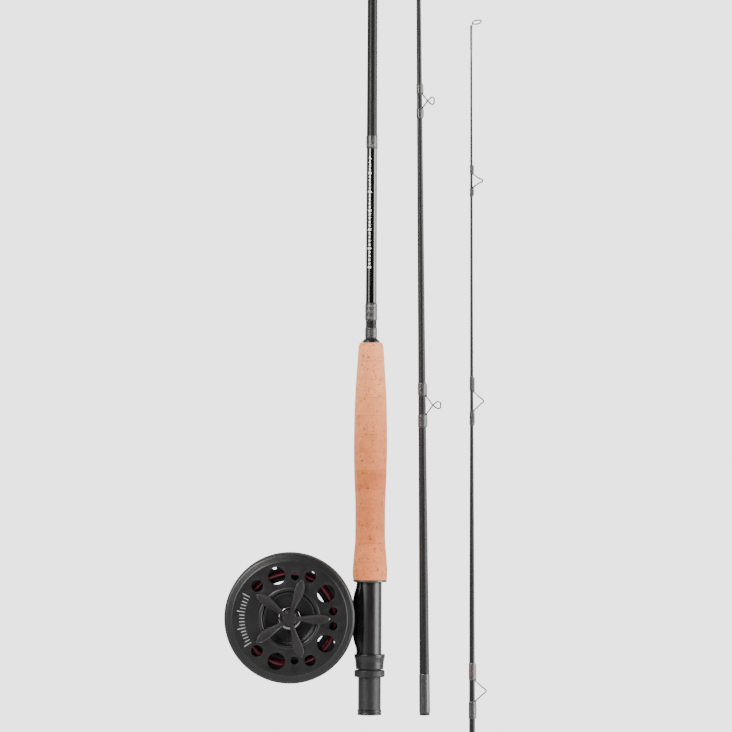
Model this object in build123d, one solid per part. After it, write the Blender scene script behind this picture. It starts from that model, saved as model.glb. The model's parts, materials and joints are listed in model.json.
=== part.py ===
from build123d import *
import math
import os

# Three-piece fly rod, taken down, with its reel on the butt section. Millimetres.
# Origin: centre of the butt cap's flat end. +Z runs up the butt section, +X towards the
# two loose sections, and the reel hangs on the -X side with its back plate facing -Y.

# ---- driving dimensions -------------------------------------------------------------
SECTION_LENGTH = 845.0
GLUE_GAP = 0.05            # between a blank and what is glued round it
RUNNING_GAP = 0.06         # radial, shaft in bushing

# butt section
BUTT_R_LOW = 4.30          # blank radius at the foot of the seat
BUTT_R_SPIGOT = 2.75       # straight male ferrule at the top
BUTT_WALL = 1.0
BUTT_BLANK_Z = 12.0
SPIGOT_LENGTH = 45.0
CAP_R = 8.45
CAP_FLANGE = 3.6
BARREL_R = 8.15
BARREL_THREAD_R = 7.85
BARREL_BORE_R = 6.90
BARREL_STEP_Z = 33.0
GRIP_Z = 93.2
RING_COUNT = 13
CORK_RING = 12.6
GRIP_TOP_Z = GRIP_Z + RING_COUNT * CORK_RING

# reel seat
HOOD_Z = 31.7
HOOD_LENGTH = 10.3
HOOD_TOP_R = 10.7
HOOD_FOOT_R = 9.5
LOCK_RING_Z = 26.3
LOCK_RING_LENGTH = 4.8
LOCK_RING_R = 10.5
FOOT_LOW_Z = 36.5
FOOT_HIGH_Z = 99.0
FOOT_END_X = 9.3
FOOT_STEM_X = 11.8
FOOT_WIDTH = 14.0
STEM_WIDTH = 10.0
STEM_HEIGHT = 21.4

# reel, in its own frame: x towards the rod, y up, z out of the back plate
REEL_X = -55.2
REEL_Z = 66.9
REEL_R = 45.0
BACK_FACE = 15.0
BACK_INNER = 12.4
FACE_FLAT_R = 39.5
RIM_EDGE = 10.2
DISH_FLOOR = 10.0
HOUSING_R = 22.2
HOUSING_BORE_R = 19.8
HOUSING_FLOOR = 8.0
HOUSING_MOUTH = -5.0
PILLAR_CENTRE_R = 41.4
PILLAR_R = 2.1
FRONT_RING_IN = 39.3
FRONT_RING_OUT = 43.2
FRONT_RING_Z = -12.0
FRONT_RING_T = 2.4
SPINDLE_R = 3.0
GROOVE_LOW = -15.95
GROOVE_HIGH = -15.05
KNOB_REACH = 28.3
KNOB_ARMS = 5
SPOOL_FACE = -14.6
SPOOL_WEB = 1.9
FLANGE_R = 38.6
DRUM_OUT = 33.2
DRUM_IN = 29.9
LINER_IN = 25.9
WINDOW_COUNT = 6
HANDLE_R = 34.5
HANDLE_LENGTH = 22.0

# loose sections: foot of the axis, lean away from the butt section and height
MID_X = 38.2
MID_LEAN = -0.743
TIP_X = 70.9
TIP_LEAN = -0.335
TIP_FOOT_Z = -365.0
MID_R_SOCKET = 3.50
MID_SOCKET_BORE = 2.80
MID_R_SPIGOT = 1.45
TIP_R_SOCKET = 2.10
TIP_SOCKET_BORE = 1.50
TIP_R_TOP = 0.69
TIP_BLANK_LENGTH = 840.0
WIRE_R = 0.45

REEL = Location(Plane(origin=(REEL_X, 0, REEL_Z), x_dir=(1, 0, 0), z_dir=(0, -1, 0)))
MID = Location((MID_X, 0, 0), (0, MID_LEAN, 0))
TIP = Location((TIP_X, 0, 0), (0, TIP_LEAN, 0)) * Location((0, 0, TIP_FOOT_Z))


# ---- helpers ------------------------------------------------------------------------
def turned(*outline):
    """A solid of revolution about Z from (radius, height) corners."""
    profile = make_face(Polyline(*[(r, 0, z) for r, z in outline], close=True))
    return revolve(profile, Axis.Z)


def tube(outer, inner, low, high):
    return turned((inner, low), (outer, low), (outer, high), (inner, high))


def rod(radius, low, high):
    return Pos(0, 0, low) * Cylinder(radius, high - low, align=(Align.CENTER, Align.CENTER, Align.MIN))


def block(x, y, z):
    """A box from three (low, high) pairs."""
    size = [pair[1] - pair[0] for pair in (x, y, z)]
    low_corner = (x[0], y[0], z[0])
    return Pos(*low_corner) * Box(*size, align=(Align.MIN, Align.MIN, Align.MIN))


def polar(radius, degrees, height=0.0):
    angle = math.radians(degrees)
    return Location((radius * math.cos(angle), radius * math.sin(angle), height))


def around(count, radius, piece, start=0.0):
    """Copies of a piece spread evenly on a circle about Z."""
    step = 360.0 / count
    return [polar(radius, start + step * i) * piece for i in range(count)]


def wrap(blank_radius, low, high, thickness=0.32):
    """A thread wrap under varnish: a thin sleeve with ends that run out."""
    inner = blank_radius + 0.01
    outer = blank_radius + thickness
    run_out = 0.8
    return turned((inner, low), (outer, low + run_out), (outer, high - run_out), (inner, high))


def wire(points, corner, radius=WIRE_R):
    """Round wire along straight runs joined by arcs."""
    path = FilletPolyline(*points, radius=corner)
    section = Plane(origin=path @ 0, z_dir=path % 0) * Circle(radius)
    return sweep(section, path)


def coil_spring(radius, length, turns):
    """A coil spring along Z as stacked closed turns joined by a thin backbone."""
    wire_r = 0.2
    step = (length - 2 * wire_r) / (turns - 1)
    spring = Pos(radius, 0, 0) * rod(wire_r, wire_r, length - wire_r)
    for i in range(turns):
        spring = spring + Pos(0, 0, wire_r + i * step) * Torus(radius, wire_r)
    return spring


pieces = {}


def keep(name, *solids, place=None):
    """Name the solids as one node, moved as a group to their place."""
    placed = [place * solid if place else solid for solid in solids]
    flat = [one for solid in placed for one in solid.solids()]
    pieces[name] = flat[0] if len(flat) == 1 else Compound(children=flat)


# ---- butt section -------------------------------------------------------------------
def butt_radius(z):
    """Blank radius along the taper, up to the shoulder of the spigot."""
    shoulder = SECTION_LENGTH - SPIGOT_LENGTH
    part = (z - BUTT_BLANK_Z) / (shoulder - BUTT_BLANK_Z)
    return BUTT_R_LOW + (BUTT_R_SPIGOT + GLUE_GAP - BUTT_R_LOW) * part


def butt_blank():
    shoulder = SECTION_LENGTH - SPIGOT_LENGTH
    bevel = 0.4
    keep("butt_blank", turned(
        (BUTT_R_LOW - BUTT_WALL, BUTT_BLANK_Z), (BUTT_R_LOW, BUTT_BLANK_Z),
        (butt_radius(shoulder), shoulder), (BUTT_R_SPIGOT, shoulder + bevel),
        (BUTT_R_SPIGOT, SECTION_LENGTH - bevel), (BUTT_R_SPIGOT - bevel, SECTION_LENGTH),
        (BUTT_R_SPIGOT - BUTT_WALL, SECTION_LENGTH)))


def butt_cap():
    groove_r = 8.0
    bead = 1.4
    plug_r = BARREL_BORE_R - GLUE_GAP
    keep("butt_cap", turned(
        (0, 0), (CAP_R - 0.4, 0), (CAP_R, 0.4), (CAP_R, bead), (groove_r, bead + 0.4),
        (groove_r, CAP_FLANGE - 1.3), (CAP_R, CAP_FLANGE - 1.0), (CAP_R, CAP_FLANGE),
        (plug_r, CAP_FLANGE), (plug_r, BUTT_BLANK_Z - 1), (0, BUTT_BLANK_Z - 1)))


def foot_pocket(gap, half_width, low, high):
    """The room a hood leaves for one end of the reel foot, on the -X side."""
    shell = rod(FOOT_END_X + gap, low, high)
    return shell & block((-20, -5), (-half_width, half_width), (low, high))


def seat():
    barrel_low = CAP_FLANGE + GLUE_GAP
    barrel_high = GRIP_Z + 12.0
    keep("seat_barrel", turned(
        (BARREL_BORE_R, barrel_low), (BARREL_THREAD_R, barrel_low),
        (BARREL_THREAD_R, BARREL_STEP_Z), (BARREL_R, BARREL_STEP_Z + 0.4),
        (BARREL_R, barrel_high), (BARREL_BORE_R, barrel_high)))
    arbor_length = 14.0
    arbors = [tube(BARREL_BORE_R - 0.02, butt_radius(z) + GLUE_GAP, z, z + arbor_length)
              for z in (18.0, 50.0, 82.0)]
    keep("seat_arbors", *arbors)
    hood_r = 10.2
    hood_high = GRIP_Z + 10.0
    hood = tube(hood_r, BARREL_R + GLUE_GAP, GRIP_Z - 1.2, hood_high)
    pocket = foot_pocket(0.25, 6.2, GRIP_Z - 2, FOOT_HIGH_Z + 0.6)
    keep("fixed_hood", hood - pocket)
    keep("grip_end_ring", tube(11.7, hood_r + GLUE_GAP, GRIP_Z - 1.4, GRIP_Z))
    thread_gap = 0.10
    ring_high = LOCK_RING_Z + LOCK_RING_LENGTH
    keep("lock_ring", turned(
        (BARREL_THREAD_R + thread_gap, LOCK_RING_Z), (LOCK_RING_R - 0.4, LOCK_RING_Z),
        (LOCK_RING_R, LOCK_RING_Z + 0.4), (LOCK_RING_R, ring_high - 0.4),
        (LOCK_RING_R - 0.4, ring_high), (BARREL_THREAD_R + thread_gap, ring_high)))
    hood_bore = BARREL_R + 0.10
    hood_high = HOOD_Z + HOOD_LENGTH
    hood = turned(
        (hood_bore, HOOD_Z), (HOOD_FOOT_R, HOOD_Z), (HOOD_FOOT_R + 0.3, HOOD_Z + 5.0),
        (HOOD_TOP_R, hood_high - 2.4), (HOOD_TOP_R, hood_high), (hood_bore, hood_high))
    pocket = foot_pocket(0.3, 6.0, FOOT_LOW_Z - 0.5, hood_high + 1)
    keep("sliding_hood", hood - pocket)


def grip():
    outline = Spline(*[(r, 0, GRIP_Z + h) for r, h in (
        (11.7, 0.0), (12.0, 5.0), (11.25, 16.5), (10.3, 30.0), (10.25, 46.0), (11.1, 73.0),
        (11.5, 92.0), (11.0, 121.0), (9.4, 149.0), (8.6, 160.0), (7.7, RING_COUNT * CORK_RING))])
    top_bore = butt_radius(GRIP_TOP_Z) + GLUE_GAP
    low_bore = butt_radius(GRIP_Z) + GLUE_GAP
    sides = Polyline((7.7, 0, GRIP_TOP_Z), (top_bore, 0, GRIP_TOP_Z), (low_bore, 0, GRIP_Z), (11.7, 0, GRIP_Z))
    body = revolve(make_face(outline.edges() + sides.edges()), Axis.Z)
    body -= rod(10.2 + GLUE_GAP, GRIP_Z - 1, GRIP_Z + 10.0 + GLUE_GAP)
    body -= rod(BARREL_R + GLUE_GAP, GRIP_Z - 1, GRIP_Z + 12.0 + GLUE_GAP)
    rings = []
    for i in range(RING_COUNT):
        low = GRIP_Z + i * CORK_RING
        slab = block((-20, 20), (-20, 20), (low, low + CORK_RING))
        rings.append(body & slab)
    keep("cork_rings", *rings)
    keep("winding_check", turned(
        (top_bore, GRIP_TOP_Z), (6.2, GRIP_TOP_Z), (6.2, GRIP_TOP_Z + 0.8),
        (4.3, GRIP_TOP_Z + 2.6), (top_bore, GRIP_TOP_Z + 2.6)))


def butt_trim():
    def sleeve(low, high):
        return wrap(max(butt_radius(low), butt_radius(high)), low, high)

    keeper_z = 269.5
    keeper_low = keeper_z + 2.6
    label_low, label_high = 391.0, 400.0
    ferrule_low = SECTION_LENGTH - SPIGOT_LENGTH - 12.0
    trim = 0.33
    bands = [wrap(butt_radius(low) + trim, z, z + 1.8, 0.2)
             for low, z in ((keeper_low, keeper_low + 1.0), (keeper_low, 277.6), (keeper_low, 281.2),
                            (label_low, label_low + 1.2))]
    keep("butt_trim_bands", *bands)
    stand = 3.6
    blank = butt_radius(keeper_z)
    points = [(blank - 1.0, 0, -3.2), (blank + 1.2, 0, -3.0), (blank + stand, 0, -1.4),
              (blank + stand, 0, 1.4), (blank + 1.2, 0, 3.0), (blank - 1.0, 0, 3.2)]
    keeper = Location((0, 0, keeper_z), (0, 0, -118)) * wire(points, 0.8, 0.35)
    keeper -= rod(blank + 0.02, keeper_z - 6, keeper_z + 6)
    keep("hook_keeper", keeper)
    keep("butt_wraps", sleeve(GRIP_TOP_Z + 2.8, keeper_z - 2.2) - keeper, sleeve(keeper_low, 284.0) - keeper,
         sleeve(label_low, label_high), sleeve(ferrule_low, ferrule_low + 10.0))


def stripping_guide():
    z = 702.0
    foot_z = 15.0
    blank = butt_radius(z - foot_z - 9.0)
    ring_r = 6.2
    height = blank + 13.0
    ring_place = Location((-height, 0, z))
    keep("stripping_guide_ring", Torus(ring_r - 1.0, 0.9), place=ring_place)
    band = ring_place * tube(ring_r + 0.55, ring_r - 0.05, -1.3, 1.3)
    rest_x = -(blank + 0.50)
    frame = [band]
    for side in (-1, 1):
        foot_end = z + side * (foot_z + 9.0)
        leg = wire([(rest_x, 0, foot_end), (rest_x, 0, z + side * foot_z),
                    (-height + ring_r + 0.1, 0, z + side * 1.0)], 4.0, 0.5)
        frame.append(leg)
        for tilt in (-1, 1):
            strut = wire([(rest_x - 0.2, 0, z + side * foot_z),
                          (-height + 1.5, tilt * (ring_r + 0.3), z + side * 0.8),
                          (-height, tilt * (ring_r + 0.3), z + side * 0.4)], 1.0, 0.4)
            frame.append(strut)
    whole = frame[0]
    for member in frame[1:]:
        whole = whole + member
    keep("stripping_guide_frame", whole)
    wraps = []
    for side in (-1, 1):
        near = z + side * (foot_z + 0.5)
        far = z + side * (foot_z + 11.0)
        low, high = min(near, far), max(near, far)
        sleeve = turned((butt_radius(z) + 0.05, low), (blank + 1.25, low + 1.0),
                        (blank + 1.25, high - 1.0), (butt_radius(z) + 0.05, high))
        wraps.append(sleeve - pieces["stripping_guide_frame"])
    keep("stripping_guide_wraps", *wraps)


# ---- reel frame ---------------------------------------------------------------------
PORTS = [                  # (angle from the rod side, centre radius, hole radius)
    (9.7, 30.4, 2.9), (-9.7, 30.4, 2.9), (34.5, 30.5, 6.1), (-34.5, 30.5, 6.1),
    (63.5, 32.1, 3.9), (-63.5, 32.1, 3.9), (83.0, 29.2, 2.7), (-83.0, 29.2, 2.7),
    (107.0, 30.7, 6.0), (-107.0, 30.7, 6.0), (135.0, 31.6, 4.1), (-135.0, 31.6, 4.1)]
PILLAR_ANGLES = (75, 180, 285)
PIN_ANGLES = (30, 150, 270)
PIN_CIRCLE = 6.4
PIN_R = 0.9
DISC_IN = 9.6
DISC_OUT = 19.4


def back_plate():
    web = HOUSING_FLOOR
    plate = turned(
        (SPINDLE_R, web), (SPINDLE_R, DISH_FLOOR), (16.2, DISH_FLOOR), (16.2, 11.4), (18.0, 11.9),
        (19.0, BACK_FACE), (19.6, BACK_FACE + 0.5), (20.6, BACK_FACE + 0.5), (21.4, BACK_FACE),
        (FACE_FLAT_R, BACK_FACE), (FACE_FLAT_R + 0.5, BACK_FACE - 0.35), (REEL_R - 1.9, BACK_FACE - 1.05),
        (REEL_R - 0.9, BACK_FACE - 1.5), (REEL_R - 0.15, BACK_INNER + 0.1), (REEL_R, BACK_INNER - 0.6),
        (REEL_R, RIM_EDGE), (REEL_R - 1.4, RIM_EDGE), (REEL_R - 1.4, BACK_INNER),
        (HOUSING_R, BACK_INNER), (HOUSING_R, HOUSING_MOUTH), (HOUSING_BORE_R, HOUSING_MOUTH),
        (HOUSING_BORE_R, web))
    for angle, centre, radius in PORTS:
        plate -= polar(centre, angle) * rod(radius, BACK_INNER - 1, BACK_FACE + 1)
    for angle in PIN_ANGLES:
        plate -= polar(PIN_CIRCLE, angle) * rod(PIN_R + GLUE_GAP, web - 1, DISH_FLOOR + 1)
    keep("back_plate", plate, place=REEL)


def frame():
    front = FRONT_RING_Z + FRONT_RING_T
    pillars = [polar(PILLAR_CENTRE_R, a) * rod(PILLAR_R, front, BACK_INNER) for a in PILLAR_ANGLES]
    keep("frame_pillars", *pillars, place=REEL)
    screw_r = 1.0
    head_r = 1.7
    screws = [polar(PILLAR_CENTRE_R, a) * (rod(head_r, FRONT_RING_Z, FRONT_RING_Z + 0.9)
              + rod(screw_r, FRONT_RING_Z + 0.9, front)) for a in PILLAR_ANGLES + (-10, 10)]
    ring = tube(FRONT_RING_OUT, FRONT_RING_IN, FRONT_RING_Z, front)
    for screw in screws:
        ring -= screw
    keep("front_ring", ring, place=REEL)
    keep("frame_screws", *screws, place=REEL)
    half_angle = 14.5
    bridge = tube(FRONT_RING_OUT, FRONT_RING_IN, front, BACK_INNER)
    half_height = FRONT_RING_OUT * math.sin(math.radians(half_angle))
    bridge = bridge & block((30, 50), (-half_height, half_height), (front - 1, BACK_INNER + 1))
    bolt_x = FRONT_RING_IN + 0.2
    bolts = []
    for y in (-6.0, 6.0):
        lying = Location((bolt_x, y, 0), (0, 90, 0))
        bolts.append(lying * (rod(2.2, 0, 1.2) + rod(1.2, 1.2, 6.0)))
    for bolt in bolts:
        bridge -= bolt
    keep("foot_bridge", bridge, place=REEL)
    keep("foot_screws", *bolts, place=REEL)


def reel_foot():
    middle = REEL_Z
    half_stem = STEM_HEIGHT / 2
    saddle_r = BARREL_R + 0.03
    shell = turned(
        (saddle_r, FOOT_LOW_Z), (FOOT_END_X, FOOT_LOW_Z), (FOOT_END_X, FOOT_LOW_Z + 8),
        (FOOT_STEM_X, middle - half_stem), (FOOT_STEM_X, middle + half_stem),
        (FOOT_END_X, FOOT_HIGH_Z - 8), (FOOT_END_X, FOOT_HIGH_Z), (saddle_r, FOOT_HIGH_Z))
    end_half = 4.6
    waist = FOOT_WIDTH / 2
    plan = Polyline(
        (0, -end_half + 1, FOOT_LOW_Z), (0, -end_half, FOOT_LOW_Z + 1), (0, -waist, middle - 15),
        (0, -waist, middle + 15), (0, -end_half, FOOT_HIGH_Z - 1), (0, -end_half + 1, FOOT_HIGH_Z),
        (0, end_half - 1, FOOT_HIGH_Z), (0, end_half, FOOT_HIGH_Z - 1), (0, waist, middle + 15),
        (0, waist, middle - 15), (0, end_half, FOOT_LOW_Z + 1), (0, end_half - 1, FOOT_LOW_Z),
        close=True)
    tongue = extrude(make_face(plan), 20, dir=(-1, 0, 0))
    foot = shell & tongue
    stem = block((REEL_X + 41.0, -FOOT_STEM_X + 0.5), (-STEM_WIDTH / 2, STEM_WIDTH / 2),
                 (middle - half_stem, middle + half_stem))
    foot = foot + (stem - REEL * rod(FRONT_RING_OUT + 0.02, -20, 20))
    for y in (-6.0, 6.0):
        foot -= REEL * Location((FRONT_RING_IN, y, 0), (0, 90, 0)) * rod(1.22, 0, 6.3)
    keep("reel_foot", foot)


def drag():
    steel = [tube(DISC_OUT, DISC_IN, low, high) for low, high in ((3.8, 4.6), (0.4, 1.6))]
    pins = [polar(PIN_CIRCLE, a) * rod(PIN_R, 7.8, DISH_FLOOR) for a in PIN_ANGLES]
    keep("pressure_pins", *pins, place=REEL)
    keep("drag_pressure_plate", tube(DISC_OUT, 5.2, 6.8, 7.8), place=REEL)
    pin_x, pin_y = 13.6, -7.6
    pin_hole = Pos(pin_x, pin_y, 0) * rod(0.8, 0.3, 1.7)
    keep("drag_steel_discs", steel[0], steel[1] - pin_hole, place=REEL)
    keep("housing_circlip", tube(HOUSING_BORE_R, 18.4, -0.4, 0.4), place=REEL)
    keep("pawl_pin", Pos(pin_x, pin_y, 0) * (rod(0.8, -3.9, 1.6) + rod(1.3, -4.3, -3.9)), place=REEL)
    corks = [tube(18.2, 9.1, low, low + 1.6) for low in (4.9, 1.9)]
    keep("drag_cork_discs", *corks, place=REEL)
    keep("clutch_hub", tube(9.05, 7.0, 1.5, 6.5), place=REEL)
    keep("one_way_clutch", tube(6.95, 4.62, 1.7, 6.4), place=REEL)
    teeth = 30
    gear = tube(11.2, 4.62, -3.4, -1.4)
    notch = Pos(11.4, 0, -4) * Rot(0, 0, 45) * Box(1.0, 1.0, 8.0)
    for i in range(teeth):
        gear -= Rot(0, 0, i * 360.0 / teeth) * notch
    keep("click_gear", gear, place=REEL)
    nose = Polyline((11.6, -1.4, -3.3), (12.6, -0.4, -3.3), (15.0, -6.4, -3.3), (14.9, -8.6, -3.3),
                    (12.4, -8.4, -3.3), close=True)
    pawl = extrude(make_face(nose), 1.8, dir=(0, 0, 1))
    pawl -= Pos(pin_x, pin_y, 0) * rod(0.86, -4, 0)
    keep("click_pawl", pawl, place=REEL)
    keep("pawl_spring", coil_spring(1.2, 4.0, 5), place=REEL * Location((17.0, -0.8, -2.4), (90, 0, 0)))


def spindle():
    groove_r = SPINDLE_R - 0.5
    keep("spindle", turned(
        (0, -16.8), (SPINDLE_R - 0.3, -16.8), (SPINDLE_R, -16.5), (SPINDLE_R, GROOVE_LOW),
        (groove_r, GROOVE_LOW), (groove_r, GROOVE_HIGH), (SPINDLE_R, GROOVE_HIGH),
        (SPINDLE_R, BACK_FACE), (SPINDLE_R - 0.4, BACK_FACE + 0.4), (0, BACK_FACE + 0.4)), place=REEL)


def star_knob():
    """Five leaf arms on a pentagonal hub, standing over the dish of the back plate."""
    under = BACK_FACE + 0.9
    thick = 1.8
    hub_r = 5.9
    knob = extrude(Location((0, 0, under - 0.3)) * RegularPolygon(hub_r, KNOB_ARMS, rotation=36), thick + 0.6)
    neck = 1.5
    belly = 3.6
    leaf = Polyline((3.5, -neck, 0), (7.5, -neck, 0)) + Spline((7.5, -neck, 0), (12.0, -2.3, 0),
            (18.5, -belly, 0), (24.5, -2.4, 0), (KNOB_REACH, 0, 0))
    edge = leaf.edges() + mirror(leaf, about=Plane.XZ).edges() + Line((3.5, -neck, 0), (3.5, neck, 0)).edges()
    arm = extrude(Pos(0, 0, under) * make_face(edge), thick)
    for i in range(KNOB_ARMS):
        knob = knob + Rot(0, 0, i * 360.0 / KNOB_ARMS) * arm
    socket_r = SPINDLE_R + RUNNING_GAP
    sleeve = rod(4.4, DISH_FLOOR + 0.5, under)
    knob = knob + sleeve - rod(socket_r, DISH_FLOOR, BACK_FACE + 0.6)
    keep("star_knob", knob, place=REEL)
    nut_low = DISH_FLOOR + 0.3
    keep("drag_nut", turned(
        (4.42, nut_low), (8.0, nut_low), (8.0, nut_low + 1.6), (7.3, nut_low + 2.4),
        (5.6, nut_low + 2.4), (4.42, nut_low + 1.8)), place=REEL)


# ---- spool --------------------------------------------------------------------------
SPOOL_INNER = SPOOL_FACE + SPOOL_WEB
HUB_R = 4.60
BUSH_OUT = 3.53
SMALL_PORTS = 8
SMALL_PORT_R = 1.8
SMALL_PORT_CENTRE = 36.2
SCREW_CIRCLE = 10.7
CAP_OUTER = 8.9


def window():
    """One opening between two spokes of the front plate."""
    inner, outer = 12.9, LINER_IN
    half_spoke = 2.6
    ring = tube(outer, inner, SPOOL_FACE - 1, SPOOL_INNER + 1)
    wedge = 30.0 * math.tan(math.pi / WINDOW_COUNT)
    corner = half_spoke / math.sin(math.pi / WINDOW_COUNT)
    face = make_face(Polyline((corner, 0, -20), (corner + 30, wedge, -20), (corner + 30, -wedge, -20), close=True))
    return ring & extrude(face, 20, dir=(0, 0, 1))


def spool():
    rim_in = 43.6
    plate = turned(
        (HUB_R, SPOOL_INNER), (HUB_R, SPOOL_FACE), (FACE_FLAT_R, SPOOL_FACE), (REEL_R - 0.4, -12.6),
        (REEL_R, -12.0), (REEL_R, -8.8), (rim_in, -8.8), (rim_in, SPOOL_INNER))
    for i in range(WINDOW_COUNT):
        plate -= Rot(0, 0, 43 + i * 360.0 / WINDOW_COUNT) * window()
    ports = around(SMALL_PORTS, SMALL_PORT_CENTRE, rod(SMALL_PORT_R, -20, 20), start=17.5)
    screws = around(6, SCREW_CIRCLE, rod(1.5, SPOOL_FACE - 0.6, SPOOL_FACE) + rod(1.0, SPOOL_FACE, -11.2), 30.0)
    hub = (rod(12.2, SPOOL_INNER, -10.9) + rod(9.0, -10.9, -5.6) + rod(HUB_R, SPOOL_FACE, 6.4)
           - rod(BUSH_OUT + 0.02, -20, 20))
    handle_hole = polar(HANDLE_R, 180) * rod(1.6, -20, 0)
    weight_hole = polar(HANDLE_R, 0) * rod(1.6, -20, 0)
    flange = tube(FLANGE_R, DRUM_OUT + 0.02, 8.2, 9.6)
    for port in ports:
        flange -= port
        plate -= port
    for screw in screws:
        plate -= screw
        hub -= screw
    keep("spool_front_plate", plate - handle_hole - weight_hole, place=REEL)
    keep("spool_back_flange", flange, place=REEL)
    keep("arbor_ring", tube(DRUM_OUT, DRUM_IN, SPOOL_INNER, 9.6), place=REEL)
    keep("arbor_liner", tube(DRUM_IN - 0.02, LINER_IN, SPOOL_INNER, 9.0), place=REEL)
    keep("spool_hub", hub, place=REEL)
    keep("spool_screws", *screws, place=REEL)
    bush_in = SPINDLE_R + RUNNING_GAP
    keep("spool_bushings", tube(BUSH_OUT, bush_in, SPOOL_FACE, -9.0), tube(BUSH_OUT, bush_in, 1.0, 6.3), place=REEL)


def handle():
    at = REEL * polar(HANDLE_R, 180)
    washer_low = SPOOL_FACE - 0.8
    knob_high = washer_low - 0.35
    knob_low = knob_high - HANDLE_LENGTH
    pin_r = 1.6
    keep("handle_washer", tube(4.2, pin_r + 0.01, washer_low, SPOOL_FACE), place=at)
    keep("handle_pin", rod(pin_r, knob_low - 1.5, SPOOL_INNER) + rod(3.2, knob_low - 1.5, knob_low - 0.35), place=at)
    keep("handle_knob", turned(
        (pin_r + RUNNING_GAP, knob_low), (5.6, knob_low), (6.6, knob_low + 1.2), (6.9, knob_low + 4.0),
        (5.4, knob_high - 9.0), (4.7, knob_high - 4.0), (5.0, knob_high - 0.8), (4.4, knob_high),
        (pin_r + RUNNING_GAP, knob_high)), place=at)
    weight = turned((0, SPOOL_FACE - 2.8), (5.0, SPOOL_FACE - 2.8), (5.6, SPOOL_FACE - 2.2),
                    (5.6, SPOOL_FACE), (pin_r, SPOOL_FACE), (pin_r, SPOOL_INNER), (0, SPOOL_INNER))
    keep("counterweight", weight, place=REEL * polar(HANDLE_R, 0))


def release():
    cap_low = SPOOL_FACE - 3.6
    cap = turned((0, cap_low), (CAP_OUTER - 0.8, cap_low), (CAP_OUTER, cap_low + 0.8), (CAP_OUTER, SPOOL_FACE),
                 (7.7, SPOOL_FACE), (7.7, cap_low + 1.2), (0, cap_low + 1.2))
    latch_low = GROOVE_LOW + 0.1
    latch_high = GROOVE_HIGH - 0.1
    slot = block((5.5, 12.0), (-2.5, 2.5), (latch_low - 0.3, SPOOL_FACE))
    notch = block((7.9, 12.0), (-2.5, 2.5), (cap_low - 1.0, SPOOL_FACE))
    keep("release_cap", cap - slot - notch, place=REEL)
    outline = Polyline((-5.2, -3.2, latch_low), (-5.2, 3.2, latch_low), (-3.6, 4.4, latch_low),
                       (3.6, 4.4, latch_low), (4.8, 2.1, latch_low), (10.8, 2.1, latch_low),
                       (10.8, -2.1, latch_low), (4.8, -2.1, latch_low), (3.6, -4.4, latch_low),
                       (-3.6, -4.4, latch_low), close=True)
    latch = extrude(make_face(outline), latch_high - latch_low, dir=(0, 0, 1))
    latch -= rod(SPINDLE_R - 0.36, -20, 0) + Pos(1.5, 0, 0) * rod(SPINDLE_R + 0.3, -20, 0)
    tab = block((9.6, 10.8), (-2.1, 2.1), (cap_low + 0.6, latch_high))
    keep("release_latch", latch + tab, place=REEL)
    leaf = make_face(Polyline((-7.02, -2.6), (-6.8, 0.0), (-7.02, 2.6), (-7.14, 2.6), (-6.94, 0.0),
                              (-7.14, -2.6), close=True))
    keep("latch_spring", Pos(0, 0, latch_low) * extrude(leaf, 0.8, dir=(0, 0, 1)), place=REEL)


# ---- loose sections -----------------------------------------------------------------
MID_STATIONS = [(0, MID_R_SOCKET), (75, 3.25), (180, 2.70), (493, 1.57), (SECTION_LENGTH - SPIGOT_LENGTH, 1.50)]
TIP_STATIONS = [(0, TIP_R_SOCKET), (352, 2.08), (444, 1.78), (568, 1.21), (651, 0.98), (734, 0.85),
                (790, TIP_R_TOP), (815, TIP_R_TOP), (824, 0.55), (TIP_BLANK_LENGTH, 0.55)]
# (height up the section, reach from the axis, half gap between feet, wrap length, crossing)
MID_GUIDES = [(214, 13.2, 5.9, 9.0, 1), (424, 10.5, 4.3, 7.2, 1), (612, 10.0, 4.3, 7.0, 1), (772, 9.4, 4.3, 7.0, 1)]
TIP_GUIDES = [(175, 10.3, 6.6, 11.0, -1), (382, 10.1, 6.8, 12.0, -1), (582, 8.7, 6.4, 10.0, -1), (734, 8.2, 4.5, 6.0, -1)]


def radius_on(stations, z):
    for (low_z, low_r), (high_z, high_r) in zip(stations, stations[1:]):
        if z <= high_z:
            return low_r + (high_r - low_r) * (z - low_z) / (high_z - low_z)
    return stations[-1][1]


def snake_guide(stations, z, reach, half_gap, wrap_length, crossing):
    """Bent wire with two feet on the +X side and one turn round the line's path."""
    foot_end = half_gap + 0.75 * wrap_length
    foot_x = radius_on(stations, z - foot_end) + WIRE_R + 0.02
    top = reach - WIRE_R
    rise = top - foot_x
    side = 2.9
    if crossing > 0:
        half = [(foot_x, 0, -half_gap), (foot_x + 0.50 * rise, -side, 0.8),
                (foot_x + 0.82 * rise, -side, 2.5), (top, -0.35 * side, 1.6)]
    else:
        half = [(foot_x, 0, -half_gap), (foot_x + 0.55 * rise, -side, -0.42 * half_gap),
                (top, -0.45 * side, -0.9)]
    climb = [(foot_x, 0, -foot_end)] + half
    fall = [(x, -y, -h) for x, y, h in reversed(climb)]
    return Pos(0, 0, z) * wire(climb + fall, 0.75)


def foot_wraps(stations, z, half_gap, wrap_length, guide):
    """The thread wraps over both feet of a guide."""
    wraps = []
    for side in (-1, 1):
        near = z + side * (half_gap + 0.6)
        far = near + side * wrap_length
        low, high = min(near, far), max(near, far)
        blank = max(radius_on(stations, low), radius_on(stations, high))
        cover = Pos(blank + WIRE_R + 0.02, 0, 0) * turned((0, low), (0.4, low), (0.78, low + 1.2),
                                                         (0.78, high - 1.2), (0.4, high), (0, high))
        sleeve = (wrap(blank, low, high) + cover) - rod(blank + 0.01, low - 1, high + 1) - guide
        wraps += sleeve.solids()
    return [piece for piece in wraps if piece.volume > 1.0]


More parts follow.
